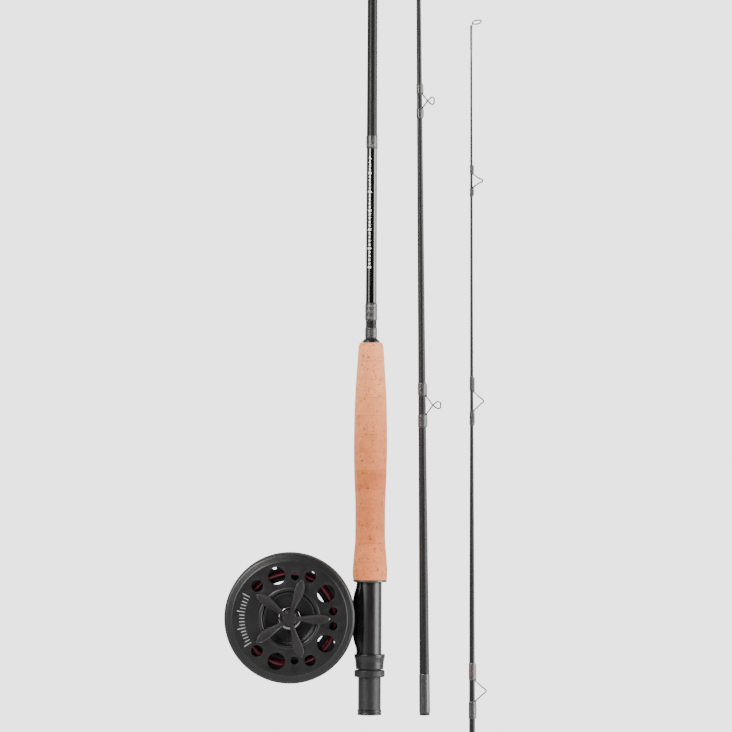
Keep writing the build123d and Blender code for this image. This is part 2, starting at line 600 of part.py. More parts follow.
def blank_solid(stations, bore, wall, spigot=None):
    """A tapered hollow blank with a straight socket at its foot."""
    socket_depth = SPIGOT_LENGTH + 3.0
    outer = [(r, z) for z, r in stations]
    top_z = stations[-1][0]
    if spigot:
        outer += [(spigot, top_z + 0.4), (spigot, SECTION_LENGTH - 0.3), (spigot - 0.3, SECTION_LENGTH)]
        top_z = SECTION_LENGTH
    tip_bore = max(0.18, outer[-1][0] - wall)
    low_bore = bore - 0.35
    return turned((bore, 0), *outer, (tip_bore, top_z), (low_bore, socket_depth + 0.5), (bore, socket_depth))


def section(name, stations, bore, wall, guides, place, spigot=None):
    keep(name + "_blank", blank_solid(stations, bore, wall, spigot), place=place)
    wires, wraps = [], []
    for z, reach, half_gap, wrap_length, crossing in guides:
        guide = snake_guide(stations, z, reach, half_gap, wrap_length, crossing)
        wires.append(guide)
        wraps += foot_wraps(stations, z, half_gap, wrap_length, guide)
    keep(name + "_snake_guides", *wires, place=place)
    foot_band = wrap(stations[0][1], 1.5, 1.5 + 0.6 * SPIGOT_LENGTH, 0.25)
    keep(name + "_wraps", foot_band, *wraps, place=place)


def tip_top():
    tube_low = 824.0
    crown = TIP_BLANK_LENGTH + 1.0
    sleeve = turned((0.57, tube_low), (0.72, tube_low), (0.8, tube_low + 0.5), (0.8, crown), (0, crown),
                    (0, TIP_BLANK_LENGTH + 0.02), (0.57, TIP_BLANK_LENGTH + 0.02))
    loop_r = 3.1
    loop = Location((3.95, 0, crown + 2.4), (28, -12, 0)) * Torus(loop_r, 0.42)
    strut = Location((0.25, 0, crown - 0.3), (0, 20, 0)) * Cylinder(
        0.42, 2.2, align=(Align.CENTER, Align.CENTER, Align.MIN))
    keep("tip_top", sleeve + (loop + strut), place=TIP)


# ---- assembly -----------------------------------------------------------------------
for make in (butt_blank, butt_cap, seat, grip, butt_trim, stripping_guide, back_plate, frame,
             reel_foot, drag, spindle, star_knob, spool, handle, release, tip_top):
    make()
section("mid", MID_STATIONS, MID_SOCKET_BORE, 0.6, MID_GUIDES, MID, spigot=MID_R_SPIGOT)
section("tip", TIP_STATIONS, TIP_SOCKET_BORE, 0.4, TIP_GUIDES, TIP)

os.makedirs("parts", exist_ok=True)
for name, shape in pieces.items():
    export_step(shape, f"parts/{name}.step")
print(len(pieces), "nodes")
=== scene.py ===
"""The looks of a three-piece fly rod and its reel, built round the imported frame.

Blender works in metres. Sizes here are in mm, and MM turns them to metres."""
import json
import random
from math import asin, atan2, cos, exp, pi, radians, sin, sqrt, tau

import bmesh
import bpy
import numpy as np
from mathutils import Matrix, Vector


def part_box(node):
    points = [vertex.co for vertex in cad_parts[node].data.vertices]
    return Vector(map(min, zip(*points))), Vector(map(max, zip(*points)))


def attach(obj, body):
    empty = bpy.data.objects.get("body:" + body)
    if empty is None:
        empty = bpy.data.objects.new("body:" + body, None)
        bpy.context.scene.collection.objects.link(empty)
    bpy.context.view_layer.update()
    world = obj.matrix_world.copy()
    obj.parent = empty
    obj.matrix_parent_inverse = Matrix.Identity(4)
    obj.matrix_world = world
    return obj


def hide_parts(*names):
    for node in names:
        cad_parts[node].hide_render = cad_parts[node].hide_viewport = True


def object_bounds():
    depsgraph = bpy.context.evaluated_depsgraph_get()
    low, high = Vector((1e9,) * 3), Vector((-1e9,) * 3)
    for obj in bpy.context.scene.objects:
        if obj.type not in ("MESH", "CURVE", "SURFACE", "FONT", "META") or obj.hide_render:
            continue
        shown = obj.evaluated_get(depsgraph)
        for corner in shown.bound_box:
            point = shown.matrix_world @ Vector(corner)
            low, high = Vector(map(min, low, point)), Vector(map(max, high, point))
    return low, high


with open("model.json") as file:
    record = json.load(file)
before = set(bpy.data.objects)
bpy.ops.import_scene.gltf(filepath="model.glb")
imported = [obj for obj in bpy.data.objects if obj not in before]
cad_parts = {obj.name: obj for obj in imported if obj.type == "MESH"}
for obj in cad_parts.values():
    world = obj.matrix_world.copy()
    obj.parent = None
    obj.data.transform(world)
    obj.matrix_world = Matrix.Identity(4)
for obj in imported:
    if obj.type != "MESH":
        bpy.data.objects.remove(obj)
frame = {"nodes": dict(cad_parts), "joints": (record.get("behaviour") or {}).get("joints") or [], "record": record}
cad_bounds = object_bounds()
nodes = frame["nodes"]
MM = 0.001


# ---- where things are, from the frame -------------------------------------------------
def middle(node):
    low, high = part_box(node)
    return (low + high) / 2


def size_mm(node):
    low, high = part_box(node)
    return (high - low) / MM


def radius_mm(node):
    return size_mm(node).x / 2


def heights(node):
    """The lowest and the highest z of a node, in mm."""
    return tuple(corner.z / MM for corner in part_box(node))


def reel_heights(node):
    """The lowest and the highest z of a node in the reel's own frame, in mm."""
    low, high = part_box(node)
    return -high.y / MM, -low.y / MM


def lean_of(lift_joint):
    """The direction a loose section's axis takes, from the joint that lifts it."""
    joint = next(j for j in frame["joints"] if j["name"] == lift_joint)
    return Vector(joint["axis"]).normalized()


REEL_CENTRE = Vector((middle("back_plate").x, 0, middle("back_plate").z))
# the reel's own frame: x towards the rod, y up, z out of the back plate
REEL = Matrix.Translation(REEL_CENTRE) @ Matrix.Rotation(pi / 2, 4, "X")
BUTT = Matrix.Identity(4)


def section_place(blank, lift_joint):
    """A loose section's frame: origin at the middle of its foot, z up its axis."""
    axis = lean_of(lift_joint)
    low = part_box(blank)[0].z
    foot = [v.co.x for v in nodes[blank].data.vertices if v.co.z < low + 0.3 * MM]
    lean = atan2(axis.x, axis.z)
    return Matrix.Translation(((min(foot) + max(foot)) / 2, 0, low)) @ Matrix.Rotation(lean, 4, "Y")


MID = section_place("mid_blank", "mid_section_lift")
TIP = section_place("tip_blank", "tip_section_lift")


# ---- materials --------------------------------------------------------------------------
class Graph:
    """A material's nodes, with short ways to add the ones used again and again."""

    def __init__(self, name):
        self.material = bpy.data.materials.new(name)
        self.material.use_nodes = True
        self.tree = self.material.node_tree
        self.shader = self.tree.nodes["Principled BSDF"]
        self.local = self.add("ShaderNodeTexCoord").outputs["Object"]

    def add(self, kind, settings=None, **inputs):
        node = self.tree.nodes.new(kind)
        for key, value in (settings or {}).items():
            setattr(node, key, value)
        for key, value in inputs.items():
            self.put(node.inputs[key.replace("_", " ")], value)
        return node

    def put(self, socket, value):
        if isinstance(value, bpy.types.NodeSocket):
            self.tree.links.new(value, socket)
        else:
            socket.default_value = value

    def math(self, operation, first, second=0.0):
        node = self.add("ShaderNodeMath", {"operation": operation})
        self.put(node.inputs[0], first)
        self.put(node.inputs[1], second)
        return node.outputs[0]

    def plus(self, first, second):
        return self.math("ADD", first, second)

    def minus(self, first, second):
        return self.math("SUBTRACT", first, second)

    def times(self, first, second):
        return self.math("MULTIPLY", first, second)

    def over(self, first, second):
        return self.math("DIVIDE", first, second)

    def under(self, first, second):
        """1 where the first is less than the second, otherwise 0."""
        return self.math("LESS_THAN", first, second)

    def set(self, name, value):
        """Gives the shader's named input a value or a link."""
        self.put(self.shader.inputs[name], value)

    def xyz(self):
        """The x, y and z of the piece's own coordinates, in metres."""
        split = self.add("ShaderNodeSeparateXYZ")
        self.put(split.inputs[0], self.local)
        return split.outputs[:3]

    def round_z(self):
        """The distance from the piece's z axis, the angle about it and the height."""
        x, y, z = self.xyz()
        squares = self.plus(self.math("POWER", x, 2.0), self.math("POWER", y, 2.0))
        return self.math("SQRT", squares), self.math("ARCTAN2", y, x), z

    def noise(self, scale, detail=4.0, vector=None, roughness=0.6):
        node = self.add("ShaderNodeTexNoise", Scale=scale, Detail=detail, Roughness=roughness)
        self.put(node.inputs["Vector"], vector or self.local)
        return node.outputs["Fac"]

    def stretched(self, x, y, z, vector=None):
        node = self.add("ShaderNodeMapping", Scale=(x, y, z))
        self.put(node.inputs["Vector"], vector or self.local)
        return node.outputs[0]

    def ramp(self, factor, *stops):
        """A colour ramp from (position, colour) stops."""
        node = self.add("ShaderNodeValToRGB", Fac=factor)
        points = node.color_ramp.elements
        while len(points) < len(stops):
            points.new(0.5)
        for point, (position, colour) in zip(points, stops):
            point.position = position
            point.color = colour if len(colour) == 4 else (*colour, 1.0)
        return node.outputs["Color"]

    def mask(self, factor, low, high):
        """0 below low, 1 above high."""
        node = self.add("ShaderNodeMapRange", {"clamp": True})
        self.put(node.inputs[0], factor)
        node.inputs[1].default_value = low
        node.inputs[2].default_value = high
        return node.outputs[0]

    def mix(self, factor, first, second):
        node = self.add("ShaderNodeMix", {"data_type": "RGBA"})
        self.put(node.inputs[0], factor)
        self.put(node.inputs[6], first)
        self.put(node.inputs[7], second)
        return node.outputs[2]

    def turned(self, ring_scale=900.0, along=0.02):
        """Fine rings about the piece's own z axis, as a lathe leaves them."""
        radius, angle, height = self.round_z()
        joined = self.add("ShaderNodeCombineXYZ")
        for socket, value in zip(joined.inputs, (radius, height, self.times(angle, along * MM * 20))):
            self.put(socket, value)
        return self.noise(ring_scale, 6.0, joined.outputs[0])

    def dial_marks(self, inner, short, long, first, step, count):
        """Radial painted marks about z from the inner radius out, every fifth one long. Angles in degrees."""
        radius, angle, _ = self.round_z()
        turn = self.math("MODULO", self.plus(angle, tau - radians(first)), tau)
        place = self.over(turn, radians(step))
        within = self.math("ABSOLUTE", self.minus(self.math("FRACT", place), 0.5))
        line = self.under(within, 0.11)
        number = self.math("FLOOR", place)
        fifth = self.under(self.math("MODULO", number, 5.0), 0.5)
        outer = self.plus(short * MM, self.times(fifth, (long - short) * MM))
        span = self.times(self.math("GREATER_THAN", radius, inner * MM), self.under(radius, outer))
        return self.times(self.times(line, span), self.under(number, float(count)))

    def bump(self, *layers):
        """Bump from (height, depth in mm) layers, the first the finest."""
        normal = None
        for height, depth in layers:
            node = self.add("ShaderNodeBump", Height=height, Distance=depth * MM)
            node.inputs["Strength"].default_value = 1.0
            if normal:
                self.put(node.inputs["Normal"], normal)
            normal = node.outputs["Normal"]
        self.set("Normal", normal)

    def finish(self, **constants):
        for key, value in constants.items():
            self.shader.inputs[key.replace("_", " ")].default_value = value
        return self.material


def grey(value):
    return (value, value, value, 1.0)


def scaled(colour, factor):
    return tuple(c * factor for c in colour)


def anodised(name, colour, roughness, ring_depth=0.004, speck=0.25, specular=0.5, marks=None, dull_below=None):
    """Turned and anodised aluminium: faint rings, fine grain, a little dust and rub.

    It can carry painted marks, and be duller below a height, where threads are cut."""
    g = Graph(name)
    rings = g.turned()
    grain = g.noise(5200.0, 3.0)
    cloud = g.noise(55.0, 5.0)
    rub = g.mask(g.noise(210.0, 8.0, roughness=0.75), 0.60, 0.80)
    pale = tuple(min(1.0, c * 1.7 + 0.004) for c in colour)
    base = g.ramp(cloud, (0.30, scaled(colour, 0.72)), (0.55, colour), (0.85, scaled(colour, 1.2)))
    speckled = g.mix(g.times(g.mask(grain, 0.58, 0.75), speck), base, (*pale, 1.0))
    rubbed = g.mix(g.times(rub, 0.18), speckled, (*pale, 1.0))
    if marks:
        rubbed = g.mix(g.times(g.dial_marks(*marks), 0.85), rubbed, grey(0.42))
    g.set("Base Color", rubbed)
    sheen = g.ramp(g.plus(g.times(cloud, 0.6), g.times(rings, 0.4)),
                   (0.25, grey(roughness - 0.06)), (0.75, grey(roughness + 0.08)))
    if dull_below:
        threads_end = g.mask(g.xyz()[2], dull_below, dull_below + 0.5 * MM)
        sheen = g.mix(threads_end, grey(roughness + 0.19), sheen)
    g.set("Roughness", sheen)
    g.bump((grain, 0.002), (rings, ring_depth))
    return g.finish(Specular_IOR_Level=specular)


def metal(name, colour, roughness, ring_depth=0.003, lacquer=0.0):
    """Bright turned metal with smears of handling, bare or under lacquer."""
    g = Graph(name)
    rings = g.turned(1400.0)
    smear = g.noise(140.0, 6.0)
    g.set("Base Color", g.ramp(smear, (0.3, scaled(colour, 0.82)), (0.7, colour)))
    g.set("Roughness", g.ramp(smear, (0.3, grey(roughness * 0.8)), (0.75, grey(roughness * 1.35))))
    g.bump((rings, ring_depth))
    return g.finish(Metallic=1.0, Coat_Weight=lacquer, Coat_Roughness=0.18)


def moulded(name, colour, roughness, grain_depth=0.012, coat=0.0, specular=0.5):
    """Moulded plastic: fine eggshell grain and slight flow marks."""
    g = Graph(name)
    grain = g.noise(2600.0, 2.0)
    flow = g.noise(70.0, 4.0)
    g.set("Base Color", g.ramp(flow, (0.3, scaled(colour, 0.75)), (0.7, scaled(colour, 1.25))))
    g.set("Roughness", g.ramp(flow, (0.3, grey(roughness - 0.05)), (0.7, grey(roughness + 0.08))))
    g.bump((grain, grain_depth))
    return g.finish(Coat_Weight=coat, Coat_Roughness=0.2, Specular_IOR_Level=specular)


def cork(name):
    """Sanded cork: tan with darker and paler grain, lenticels that run across, and glue lines between rings."""
    g = Graph(name)
    low, high = (mm * MM for mm in heights("cork_rings"))
    height = g.minus(g.xyz()[2], low)
    place = g.over(height, (high - low) / CORK_RING_COUNT)
    seam = g.math("ABSOLUTE", g.minus(g.math("FRACT", place), 0.5))
    # each ring has its own grain and its own tone
    white = g.add("ShaderNodeTexWhiteNoise", {"noise_dimensions": "1D"}, W=g.math("FLOOR", place))
    offset = g.add("ShaderNodeVectorMath", {"operation": "ADD"})
    g.put(offset.inputs[0], g.local)
    g.put(offset.inputs[1], white.outputs["Color"])
    own = offset.outputs[0]
    cloud = g.noise(170.0, 6.0, own, 0.75)
    grain = g.noise(1500.0, 3.0, own)
    flat = g.stretched(0.55, 0.55, 1.0, own)
    lenticel = g.mask(g.noise(420.0, 4.0, flat, 0.75), 0.655, 0.70)
    cells = g.add("ShaderNodeTexVoronoi", {"feature": "DISTANCE_TO_EDGE"}, Scale=300.0, Vector=flat)
    base = g.ramp(cloud, (0.30, (0.36, 0.076, 0.016)), (0.47, (0.62, 0.165, 0.046)),
                  (0.70, (0.84, 0.270, 0.086)))
    own_tone = g.plus(g.times(white.outputs["Value"], 0.13), g.over(height, 1.15 * (high - low)))
    tone = g.mix(0.60, base, g.ramp(own_tone, (0.05, (0.66, 0.195, 0.060)), (0.45, (0.38, 0.080, 0.016)),
                                    (0.90, (0.95, 0.370, 0.145))))
    spotted = g.mix(g.times(g.mask(grain, 0.58, 0.70), 0.60), tone, (0.30, 0.060, 0.014, 1.0))
    marked = g.mix(g.times(lenticel, 0.75), spotted, (0.14, 0.030, 0.008, 1.0))
    glue = g.mask(seam, 0.487, 0.497)
    lined = g.mix(g.times(glue, 0.40), marked, (0.34, 0.075, 0.020, 1.0))
    pit = g.add("ShaderNodeAttribute", {"attribute_name": "pit"}).outputs["Fac"]
    g.set("Base Color", g.mix(pit, lined, (0.13, 0.026, 0.007, 1.0)))
    g.set("Roughness", g.ramp(grain, (0.3, grey(0.62)), (0.7, grey(0.82))))
    g.bump((cells.outputs["Distance"], 0.02), (grain, 0.05), (g.times(lenticel, -1.0), 0.22),
           (g.times(glue, -1.0), 0.05))
    return g.finish(Specular_IOR_Level=0.25, Sheen_Weight=0.62, Sheen_Roughness=0.45,
                    Sheen_Tint=(1.0, 0.80, 0.62, 1.0))


def thread(name, dark, middle_tone, pale, pitch=0.16 * MM):
    """Close turns of thread under clear varnish, with painted shade in the grooves between the turns."""
    g = Graph(name)
    turns = g.math("SINE", g.times(g.xyz()[2], tau / pitch))
    blotch = g.noise(380.0, 5.0, g.stretched(1.0, 1.0, 0.45))
    fibre = g.noise(3000.0, 2.0, g.stretched(0.2, 0.2, 1.0))
    tone = g.ramp(blotch, (0.34, dark), (0.50, middle_tone), (0.68, pale))
    # painted shade: the colour goes to the dark tone in the grooves between turns
    with_painted_groove_shade = g.mix(g.times(g.mask(turns, -1.0, -0.2), 0.35), (*dark, 1.0), tone)
    g.set("Base Color", g.mix(g.times(fibre, 0.2), with_painted_groove_shade, (*pale, 1.0)))
    g.bump((turns, 0.012), (blotch, 0.02))
    return g.finish(Roughness=0.42, Coat_Weight=0.55, Coat_Roughness=0.12, Coat_IOR=1.5)


def between(g, value, low, high, edge):
    """1 from low to high, with soft edges of the given width, and 0 outside."""
    return g.times(g.mask(value, low, low + edge), g.mask(g.times(value, -1.0), -high, -high + edge))


def blank_paint(name, specular, gloss=None, ticks=None):
    """Sanded and painted graphite.

    gloss gives the lowest and highest z of a stretch under clear varnish. ticks gives a plain scale of painted
    ticks: lowest and highest z, the step between them, their half width and their bearing, in radians."""
    g = Graph(name)
    spiral = g.noise(240.0, 4.0, g.stretched(1.0, 1.0, 0.25))
    grain = g.noise(3600.0, 2.0)
    tone = g.ramp(spiral, (0.3, grey(0.0058)), (0.55, grey(0.0080)), (0.8, grey(0.0105)))
    paint = g.mix(g.times(g.mask(grain, 0.66, 0.78), 0.03), tone, grey(0.05))
    if gloss is None:
        g.set("Base Color", paint)
        g.set("Roughness", g.ramp(spiral, (0.3, grey(0.42)), (0.8, grey(0.50))))
        g.bump((grain, 0.0004), (spiral, 0.002))
        return g.finish(Specular_IOR_Level=specular)
    _, angle, height = g.round_z()
    shiny = between(g, height, *gloss, 0.2 * MM)
    low, high, step, width, bearing = ticks
    along = g.over(g.minus(height, low), step)
    dash = g.mask(g.math("FRACT", along), 0.42, 0.50)
    fifth = g.under(g.math("FRACT", g.over(g.math("FLOOR", along), 5.0)), 0.1)
    reach = g.plus(g.times(fifth, 0.55 * width), 0.75 * width)
    line = g.under(g.math("ABSOLUTE", g.minus(angle, bearing)), reach)
    mark = g.times(g.times(between(g, height, low, high, 0.1 * MM), dash), line)
    g.set("Base Color", g.mix(mark, g.mix(shiny, paint, grey(0.002)), grey(0.78)))
    g.set("Roughness", g.mix(shiny, g.ramp(spiral, (0.3, grey(0.36)), (0.8, grey(0.44))), grey(0.22)))
    g.bump((grain, 0.001), (spiral, 0.002))
    g.set("Coat Weight", shiny)
    return g.finish(Specular_IOR_Level=specular, Coat_Roughness=0.10)


def wire_metal(name, colour, roughness):
    """Drawn wire with patches of tarnish."""
    g = Graph(name)
    drawn = g.noise(2600.0, 3.0, g.stretched(1.0, 1.0, 0.2))
    tarnish = g.noise(260.0, 5.0)
    g.set("Base Color", g.ramp(tarnish, (0.35, scaled(colour, 0.6)), (0.65, colour)))
    g.set("Roughness", g.ramp(tarnish, (0.3, grey(roughness * 0.8)), (0.7, grey(roughness * 1.4))))
    g.bump((drawn, 0.003))
    return g.finish(Metallic=1.0)


CORK_RING_COUNT = 13
FINISH = {
    "cork": cork("cork_sanded"),
    "seat_metal": anodised("seat_anodised", (0.0026, 0.0020, 0.0025), 0.34, 0.0012, 0.08),
    "reel_metal": anodised("reel_anodised", (0.0046, 0.0042, 0.0045), 0.42, 0.002, 0.12, 0.42),
    "spool_metal": anodised("spool_anodised", (0.0034, 0.0034, 0.0036), 0.34, 0.002, 0.12, 0.35),
    "arbor_red": metal("arbor_red_gloss", (0.110, 0.005, 0.020), 0.34, lacquer=0.7),
    "knob_black": moulded("knob_charcoal", (0.0080, 0.0066, 0.0078), 0.40, 0.004, specular=0.55),
    "handle_black": moulded("handle_soft_black", (0.010, 0.010, 0.011), 0.55, 0.02),
    "stainless": metal("stainless_turned", (0.56, 0.56, 0.57), 0.24),
    "screw_black": metal("screw_black_oxide", (0.05, 0.05, 0.052), 0.35),
    "bronze": metal("bronze_bush", (0.55, 0.36, 0.17), 0.32),
    "spring_steel": wire_metal("spring_wire", (0.45, 0.45, 0.46), 0.28),
    "guide_wire": wire_metal("guide_wire_grey", (0.13, 0.13, 0.135), 0.30),
    "guide_ceramic": moulded("guide_ceramic_dark", (0.035, 0.036, 0.04), 0.12, 0.001, 0.5),
    "drag_cork": moulded("drag_cork_disc", (0.36, 0.20, 0.10), 0.75, 0.03),
    "arbor_foam": moulded("arbor_foam_rigid", (0.42, 0.38, 0.30), 0.85, 0.05),
    "olive_ring": moulded("olive_ring_composite", (0.030, 0.027, 0.015), 0.40, 0.006, 0.3),
    "thread_wrap": thread("thread_charcoal", (0.006, 0.0055, 0.006), (0.014, 0.013, 0.013),
                          (0.035, 0.033, 0.033)),
    "silver_trim": thread("thread_silver", (0.025, 0.025, 0.025), (0.07, 0.07, 0.07), (0.14, 0.14, 0.14)),
    "blank_graphite": blank_paint("blank_matt", 0.30),
}
BARREL_METAL = anodised("seat_barrel_anodised", (0.0030, 0.0023, 0.0029), 0.34, 0.0012, 0.08,
                        dull_below=33 * MM)
RING_METAL = anodised("lock_ring_anodised", (0.0066, 0.0056, 0.0066), 0.50, 0.001, 0.08, 0.4)
NUT_METAL = metal("drag_nut_polished", (0.34, 0.33, 0.34), 0.12)
# the foot's finish: the reel's anodised finish made far darker, painted shade for its place between the reel and
# the barrel
FOOT_METAL_PAINTED_SHADE = anodised("foot_anodised_painted_shade", (0.0012, 0.0010, 0.0012), 0.24, 0.001, 0.05, 0.25)
MARKED_METAL = anodised("back_plate_anodised", (0.0046, 0.0042, 0.0045), 0.42, 0.002, 0.12, 0.42,
                        marks=(31.0, 34.6, 36.6, 150.0, 4.0, 16))
RUST_THREAD = thread("thread_russet", (0.030, 0.010, 0.012), (0.065, 0.024, 0.030), (0.14, 0.07, 0.08))
# every node starts with its slot's finish, and the pieces made below stand for most of them
for entry in frame["record"]["subparts"]:
    node = nodes[entry["node"]]
    node.data.materials.clear()
    node.data.materials.append(FINISH[entry["material_slot"]])


# ---- ways to build pieces ---------------------------------------------------------------
def rounded(outline, radius, steps=3):
    """A closed outline of (radius, height) corners with each corner off the axis turned into a small arc."""
    result = []
    count = len(outline)
    for i, corner in enumerate(outline):
        here = Vector(corner)
        before = Vector(outline[i - 1]) - here
        after = Vector(outline[(i + 1) % count]) - here
        if corner[0] < 1e-6 or before.length < 1e-6 or after.length < 1e-6:
            result.append(tuple(here))
            continue
        cut = min(radius, 0.42 * before.length, 0.42 * after.length)
        start = here + before.normalized() * cut
        end = here + after.normalized() * cut
        for k in range(steps + 1):
            t = k / steps
            result.append(tuple(start * (1 - t) ** 2 + here * 2 * t * (1 - t) + end * t * t))
    return result


def object_from(name, vertices, faces, smooth_angle=32):
    mesh = bpy.data.meshes.new(name)
    mesh.from_pydata(vertices, [], faces)
    build = bmesh.new()
    build.from_mesh(mesh)
    bmesh.ops.remove_doubles(build, verts=build.verts, dist=1e-7)
    bmesh.ops.recalc_face_normals(build, faces=build.faces)
    build.to_mesh(mesh)
    build.free()
    mesh.shade_smooth()
    mesh.set_sharp_from_angle(angle=radians(smooth_angle))
    piece = bpy.data.objects.new(name, mesh)
    bpy.context.scene.collection.objects.link(piece)
    return piece


def above(base, *corners):
    """(radius, height) corners with their heights counted from a base."""
    return [(radius, base + rise) for radius, rise in corners]


def lathe(name, outline, edge=0.25, segments=128, shape=None):
    """A turned solid about z from (radius, height) corners in mm, each corner eased by up to edge.

    shape(radius, height, angle) may alter the radius."""
    ring = rounded(outline, edge) if edge else list(outline)
    vertices = []
    starts = []
    for radius, height in ring:
        starts.append(len(vertices))
        if radius < 1e-6:
            vertices.append((0.0, 0.0, height * MM))
            continue
        for k in range(segments):
            angle = tau * k / segments
            r = (shape(radius, height, angle) if shape else radius) * MM
            vertices.append((r * cos(angle), r * sin(angle), height * MM))
    faces = []
    for i, (radius, _) in enumerate(ring):
        j = (i + 1) % len(ring)
        on_axis, next_on_axis = radius < 1e-6, ring[j][0] < 1e-6
        if on_axis and next_on_axis:
            continue
        for k in range(segments):
            m = (k + 1) % segments
            if on_axis:
                faces.append((starts[i], starts[j] + m, starts[j] + k))
            elif next_on_axis:
                faces.append((starts[i] + k, starts[i] + m, starts[j]))
            else:
                faces.append((starts[i] + k, starts[i] + m, starts[j] + m, starts[j] + k))
    return object_from(name, vertices, faces)


def curve_value(stations, x):
    """The height of a smooth curve through (x, height) stations."""
    x = min(max(x, stations[0][0]), stations[-1][0])
    i = next(k for k in range(1, len(stations)) if x <= stations[k][0]) - 1
    (x0, y0), (x1, y1) = stations[i], stations[i + 1]
    slope = (y1 - y0) / (x1 - x0)

    def lean(j):
        if j <= 0 or j >= len(stations) - 1:
            return slope
        (xa, ya), (xb, yb), (xc, yc) = stations[j - 1:j + 2]
        first, second = (yb - ya) / (xb - xa), (yc - yb) / (xc - xb)
        return 0.0 if first * second <= 0 else 2 * first * second / (first + second)
    t = (x - x0) / (x1 - x0)
    width = x1 - x0
    return (y0 * (1 + 2 * t) * (1 - t) ** 2 + lean(i) * width * t * (1 - t) ** 2
            + y1 * t * t * (3 - 2 * t) + lean(i + 1) * width * t * t * (t - 1))


def smooth_path(points, steps=10):
    """A Catmull-Rom curve through the points, in their own units."""
    line = [Vector(p) for p in points]
    line = [2 * line[0] - line[1]] + line + [2 * line[-1] - line[-2]]
    path = []
    for a, b, c, d in zip(line, line[1:], line[2:], line[3:]):
        for k in range(steps):
            t = k / steps
            path.append(0.5 * (2 * b + (c - a) * t + (2 * a - 5 * b + 4 * c - d) * t * t
                               + (3 * b - a - 3 * c + d) * t ** 3))
    path.append(line[-2])
    return path


def wire(name, path, radius, sides=14, flat=None, closed=False):
    """Round wire along a path in mm. flat(index share) gives (width factor, height factor) of the section."""
    vertices, faces = [], []
    count = len(path)
    across = None
    for i, point in enumerate(path):
        ahead = path[(i + 1) % count] if closed else path[min(i + 1, count - 1)]
        behind = path[i - 1] if closed or i else path[0]
        along = (ahead - behind).normalized()
        if across is None:
            across = along.orthogonal().normalized()
            reference = Vector((0, 1, 0))
            if abs(along.dot(reference)) < 0.9:
                across = (reference - along * reference.dot(along)).normalized()
        across = (across - along * across.dot(along)).normalized()
        other = along.cross(across)
        wide, high = flat(i / (count - 1)) if flat else (1.0, 1.0)
        for k in range(sides):
            angle = tau * k / sides
            offset = across * (cos(angle) * radius * wide) + other * (sin(angle) * radius * high)
            vertices.append((point + offset) * MM)
    for i in range(count if closed else count - 1):
        j = (i + 1) % count
        for k in range(sides):
            m = (k + 1) % sides
            faces.append((i * sides + k, i * sides + m, j * sides + m, j * sides + k))
    if not closed:
        faces.append(tuple(range(sides)))
        faces.append(tuple(range((count - 1) * sides, count * sides)))
    return object_from(name, vertices, faces, 50)


def joined(name, parts):
    """Several objects made into one mesh, each keeping its place."""
    build = bmesh.new()
    for part in parts:
        part.data.transform(part.matrix_basis)
        build.from_mesh(part.data)
        bpy.data.objects.remove(part)
    mesh = bpy.data.meshes.new(name)
    build.to_mesh(mesh)
    build.free()
    piece = bpy.data.objects.new(name, mesh)
    bpy.context.scene.collection.objects.link(piece)
    return piece


def apply_modifiers(piece):
    bpy.context.view_layer.update()
    graph = bpy.context.evaluated_depsgraph_get()
    mesh = bpy.data.meshes.new_from_object(piece.evaluated_get(graph))
    piece.modifiers.clear()
    piece.data = mesh
    return piece


def cut(piece, cutters, edge=0.22, operation="DIFFERENCE"):
    """Takes the cutters out of the piece and eases the new edges."""
    tool = joined("cutter", cutters)
    boolean = piece.modifiers.new("cut", "BOOLEAN")
    boolean.operation = operation
    boolean.solver = "EXACT"
    boolean.object = tool
    apply_modifiers(piece)
    bpy.data.objects.remove(tool)
    if edge:
        bevel = piece.modifiers.new("ease", "BEVEL")
        bevel.width = edge * MM
        bevel.segments = 2
        bevel.limit_method = "ANGLE"
        bevel.angle_limit = radians(38)
        bevel.use_clamp_overlap = True
        bevel.harden_normals = False
        apply_modifiers(piece)
    piece.data.shade_smooth()
    piece.data.set_sharp_from_angle(angle=radians(32))
    return piece


def prism(name, outline, low, high):
    """A closed (x, y) outline in mm carried from one height to another."""
    count = len(outline)
    vertices = [(x * MM, y * MM, z * MM) for z in (low, high) for x, y in outline]
    faces = [(k, (k + 1) % count, count + (k + 1) % count, count + k) for k in range(count)]
    faces += [tuple(range(count)), tuple(range(count, 2 * count))]
    return object_from(name, vertices, faces)


def box_between(x0, x1, y0, y1, z0, z1):
    return prism("box", [(x0, y0), (x1, y0), (x1, y1), (x0, y1)], z0, z1)


def moved(piece, x=0.0, y=0.0, z=0.0, turn=0.0, tilt=0.0):
    """Puts a piece at a place in mm, tilted about y and then turned about z in degrees."""
    matrix = (Matrix.Translation((x * MM, y * MM, z * MM)) @ Matrix.Rotation(radians(turn), 4, "Z")
              @ Matrix.Rotation(radians(tilt), 4, "Y"))
    piece.data.transform(matrix)
    return piece


def round_bar(radius, low, high, x=0.0, y=0.0, segments=48):
    return moved(lathe("bar", [(0, low), (radius, low), (radius, high), (0, high)], 0, segments), x, y)


def polar(radius, degrees):
    return radius * cos(radians(degrees)), radius * sin(radians(degrees))


def bars_at(distance, angles, radius, low, high, segments=32):
    """Round bars along z at one distance from it, to cut holes with."""
    return [round_bar(radius, low, high, *polar(distance, angle), segments) for angle in angles]


def spread_round(count, first=0.0):
    """Evenly spaced angles in degrees."""
    return [first + k * 360 / count for k in range(count)]


def dress(piece, body, slot, place, stands_for=(), material=None):
    """Gives a piece its finish, place and body, and hides what it stands for."""
    piece.data.materials.clear()
    piece.data.materials.append(material or FINISH[slot])
    piece.matrix_world = place
    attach(piece, body)
    if stands_for:
        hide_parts(*stands_for)


# ---- the reel: back plate, dish and drag knob -------------------------------------------------
REEL_R = radius_mm("back_plate")
HOUSING_MOUTH, RIDGE_TOP = reel_heights("back_plate")
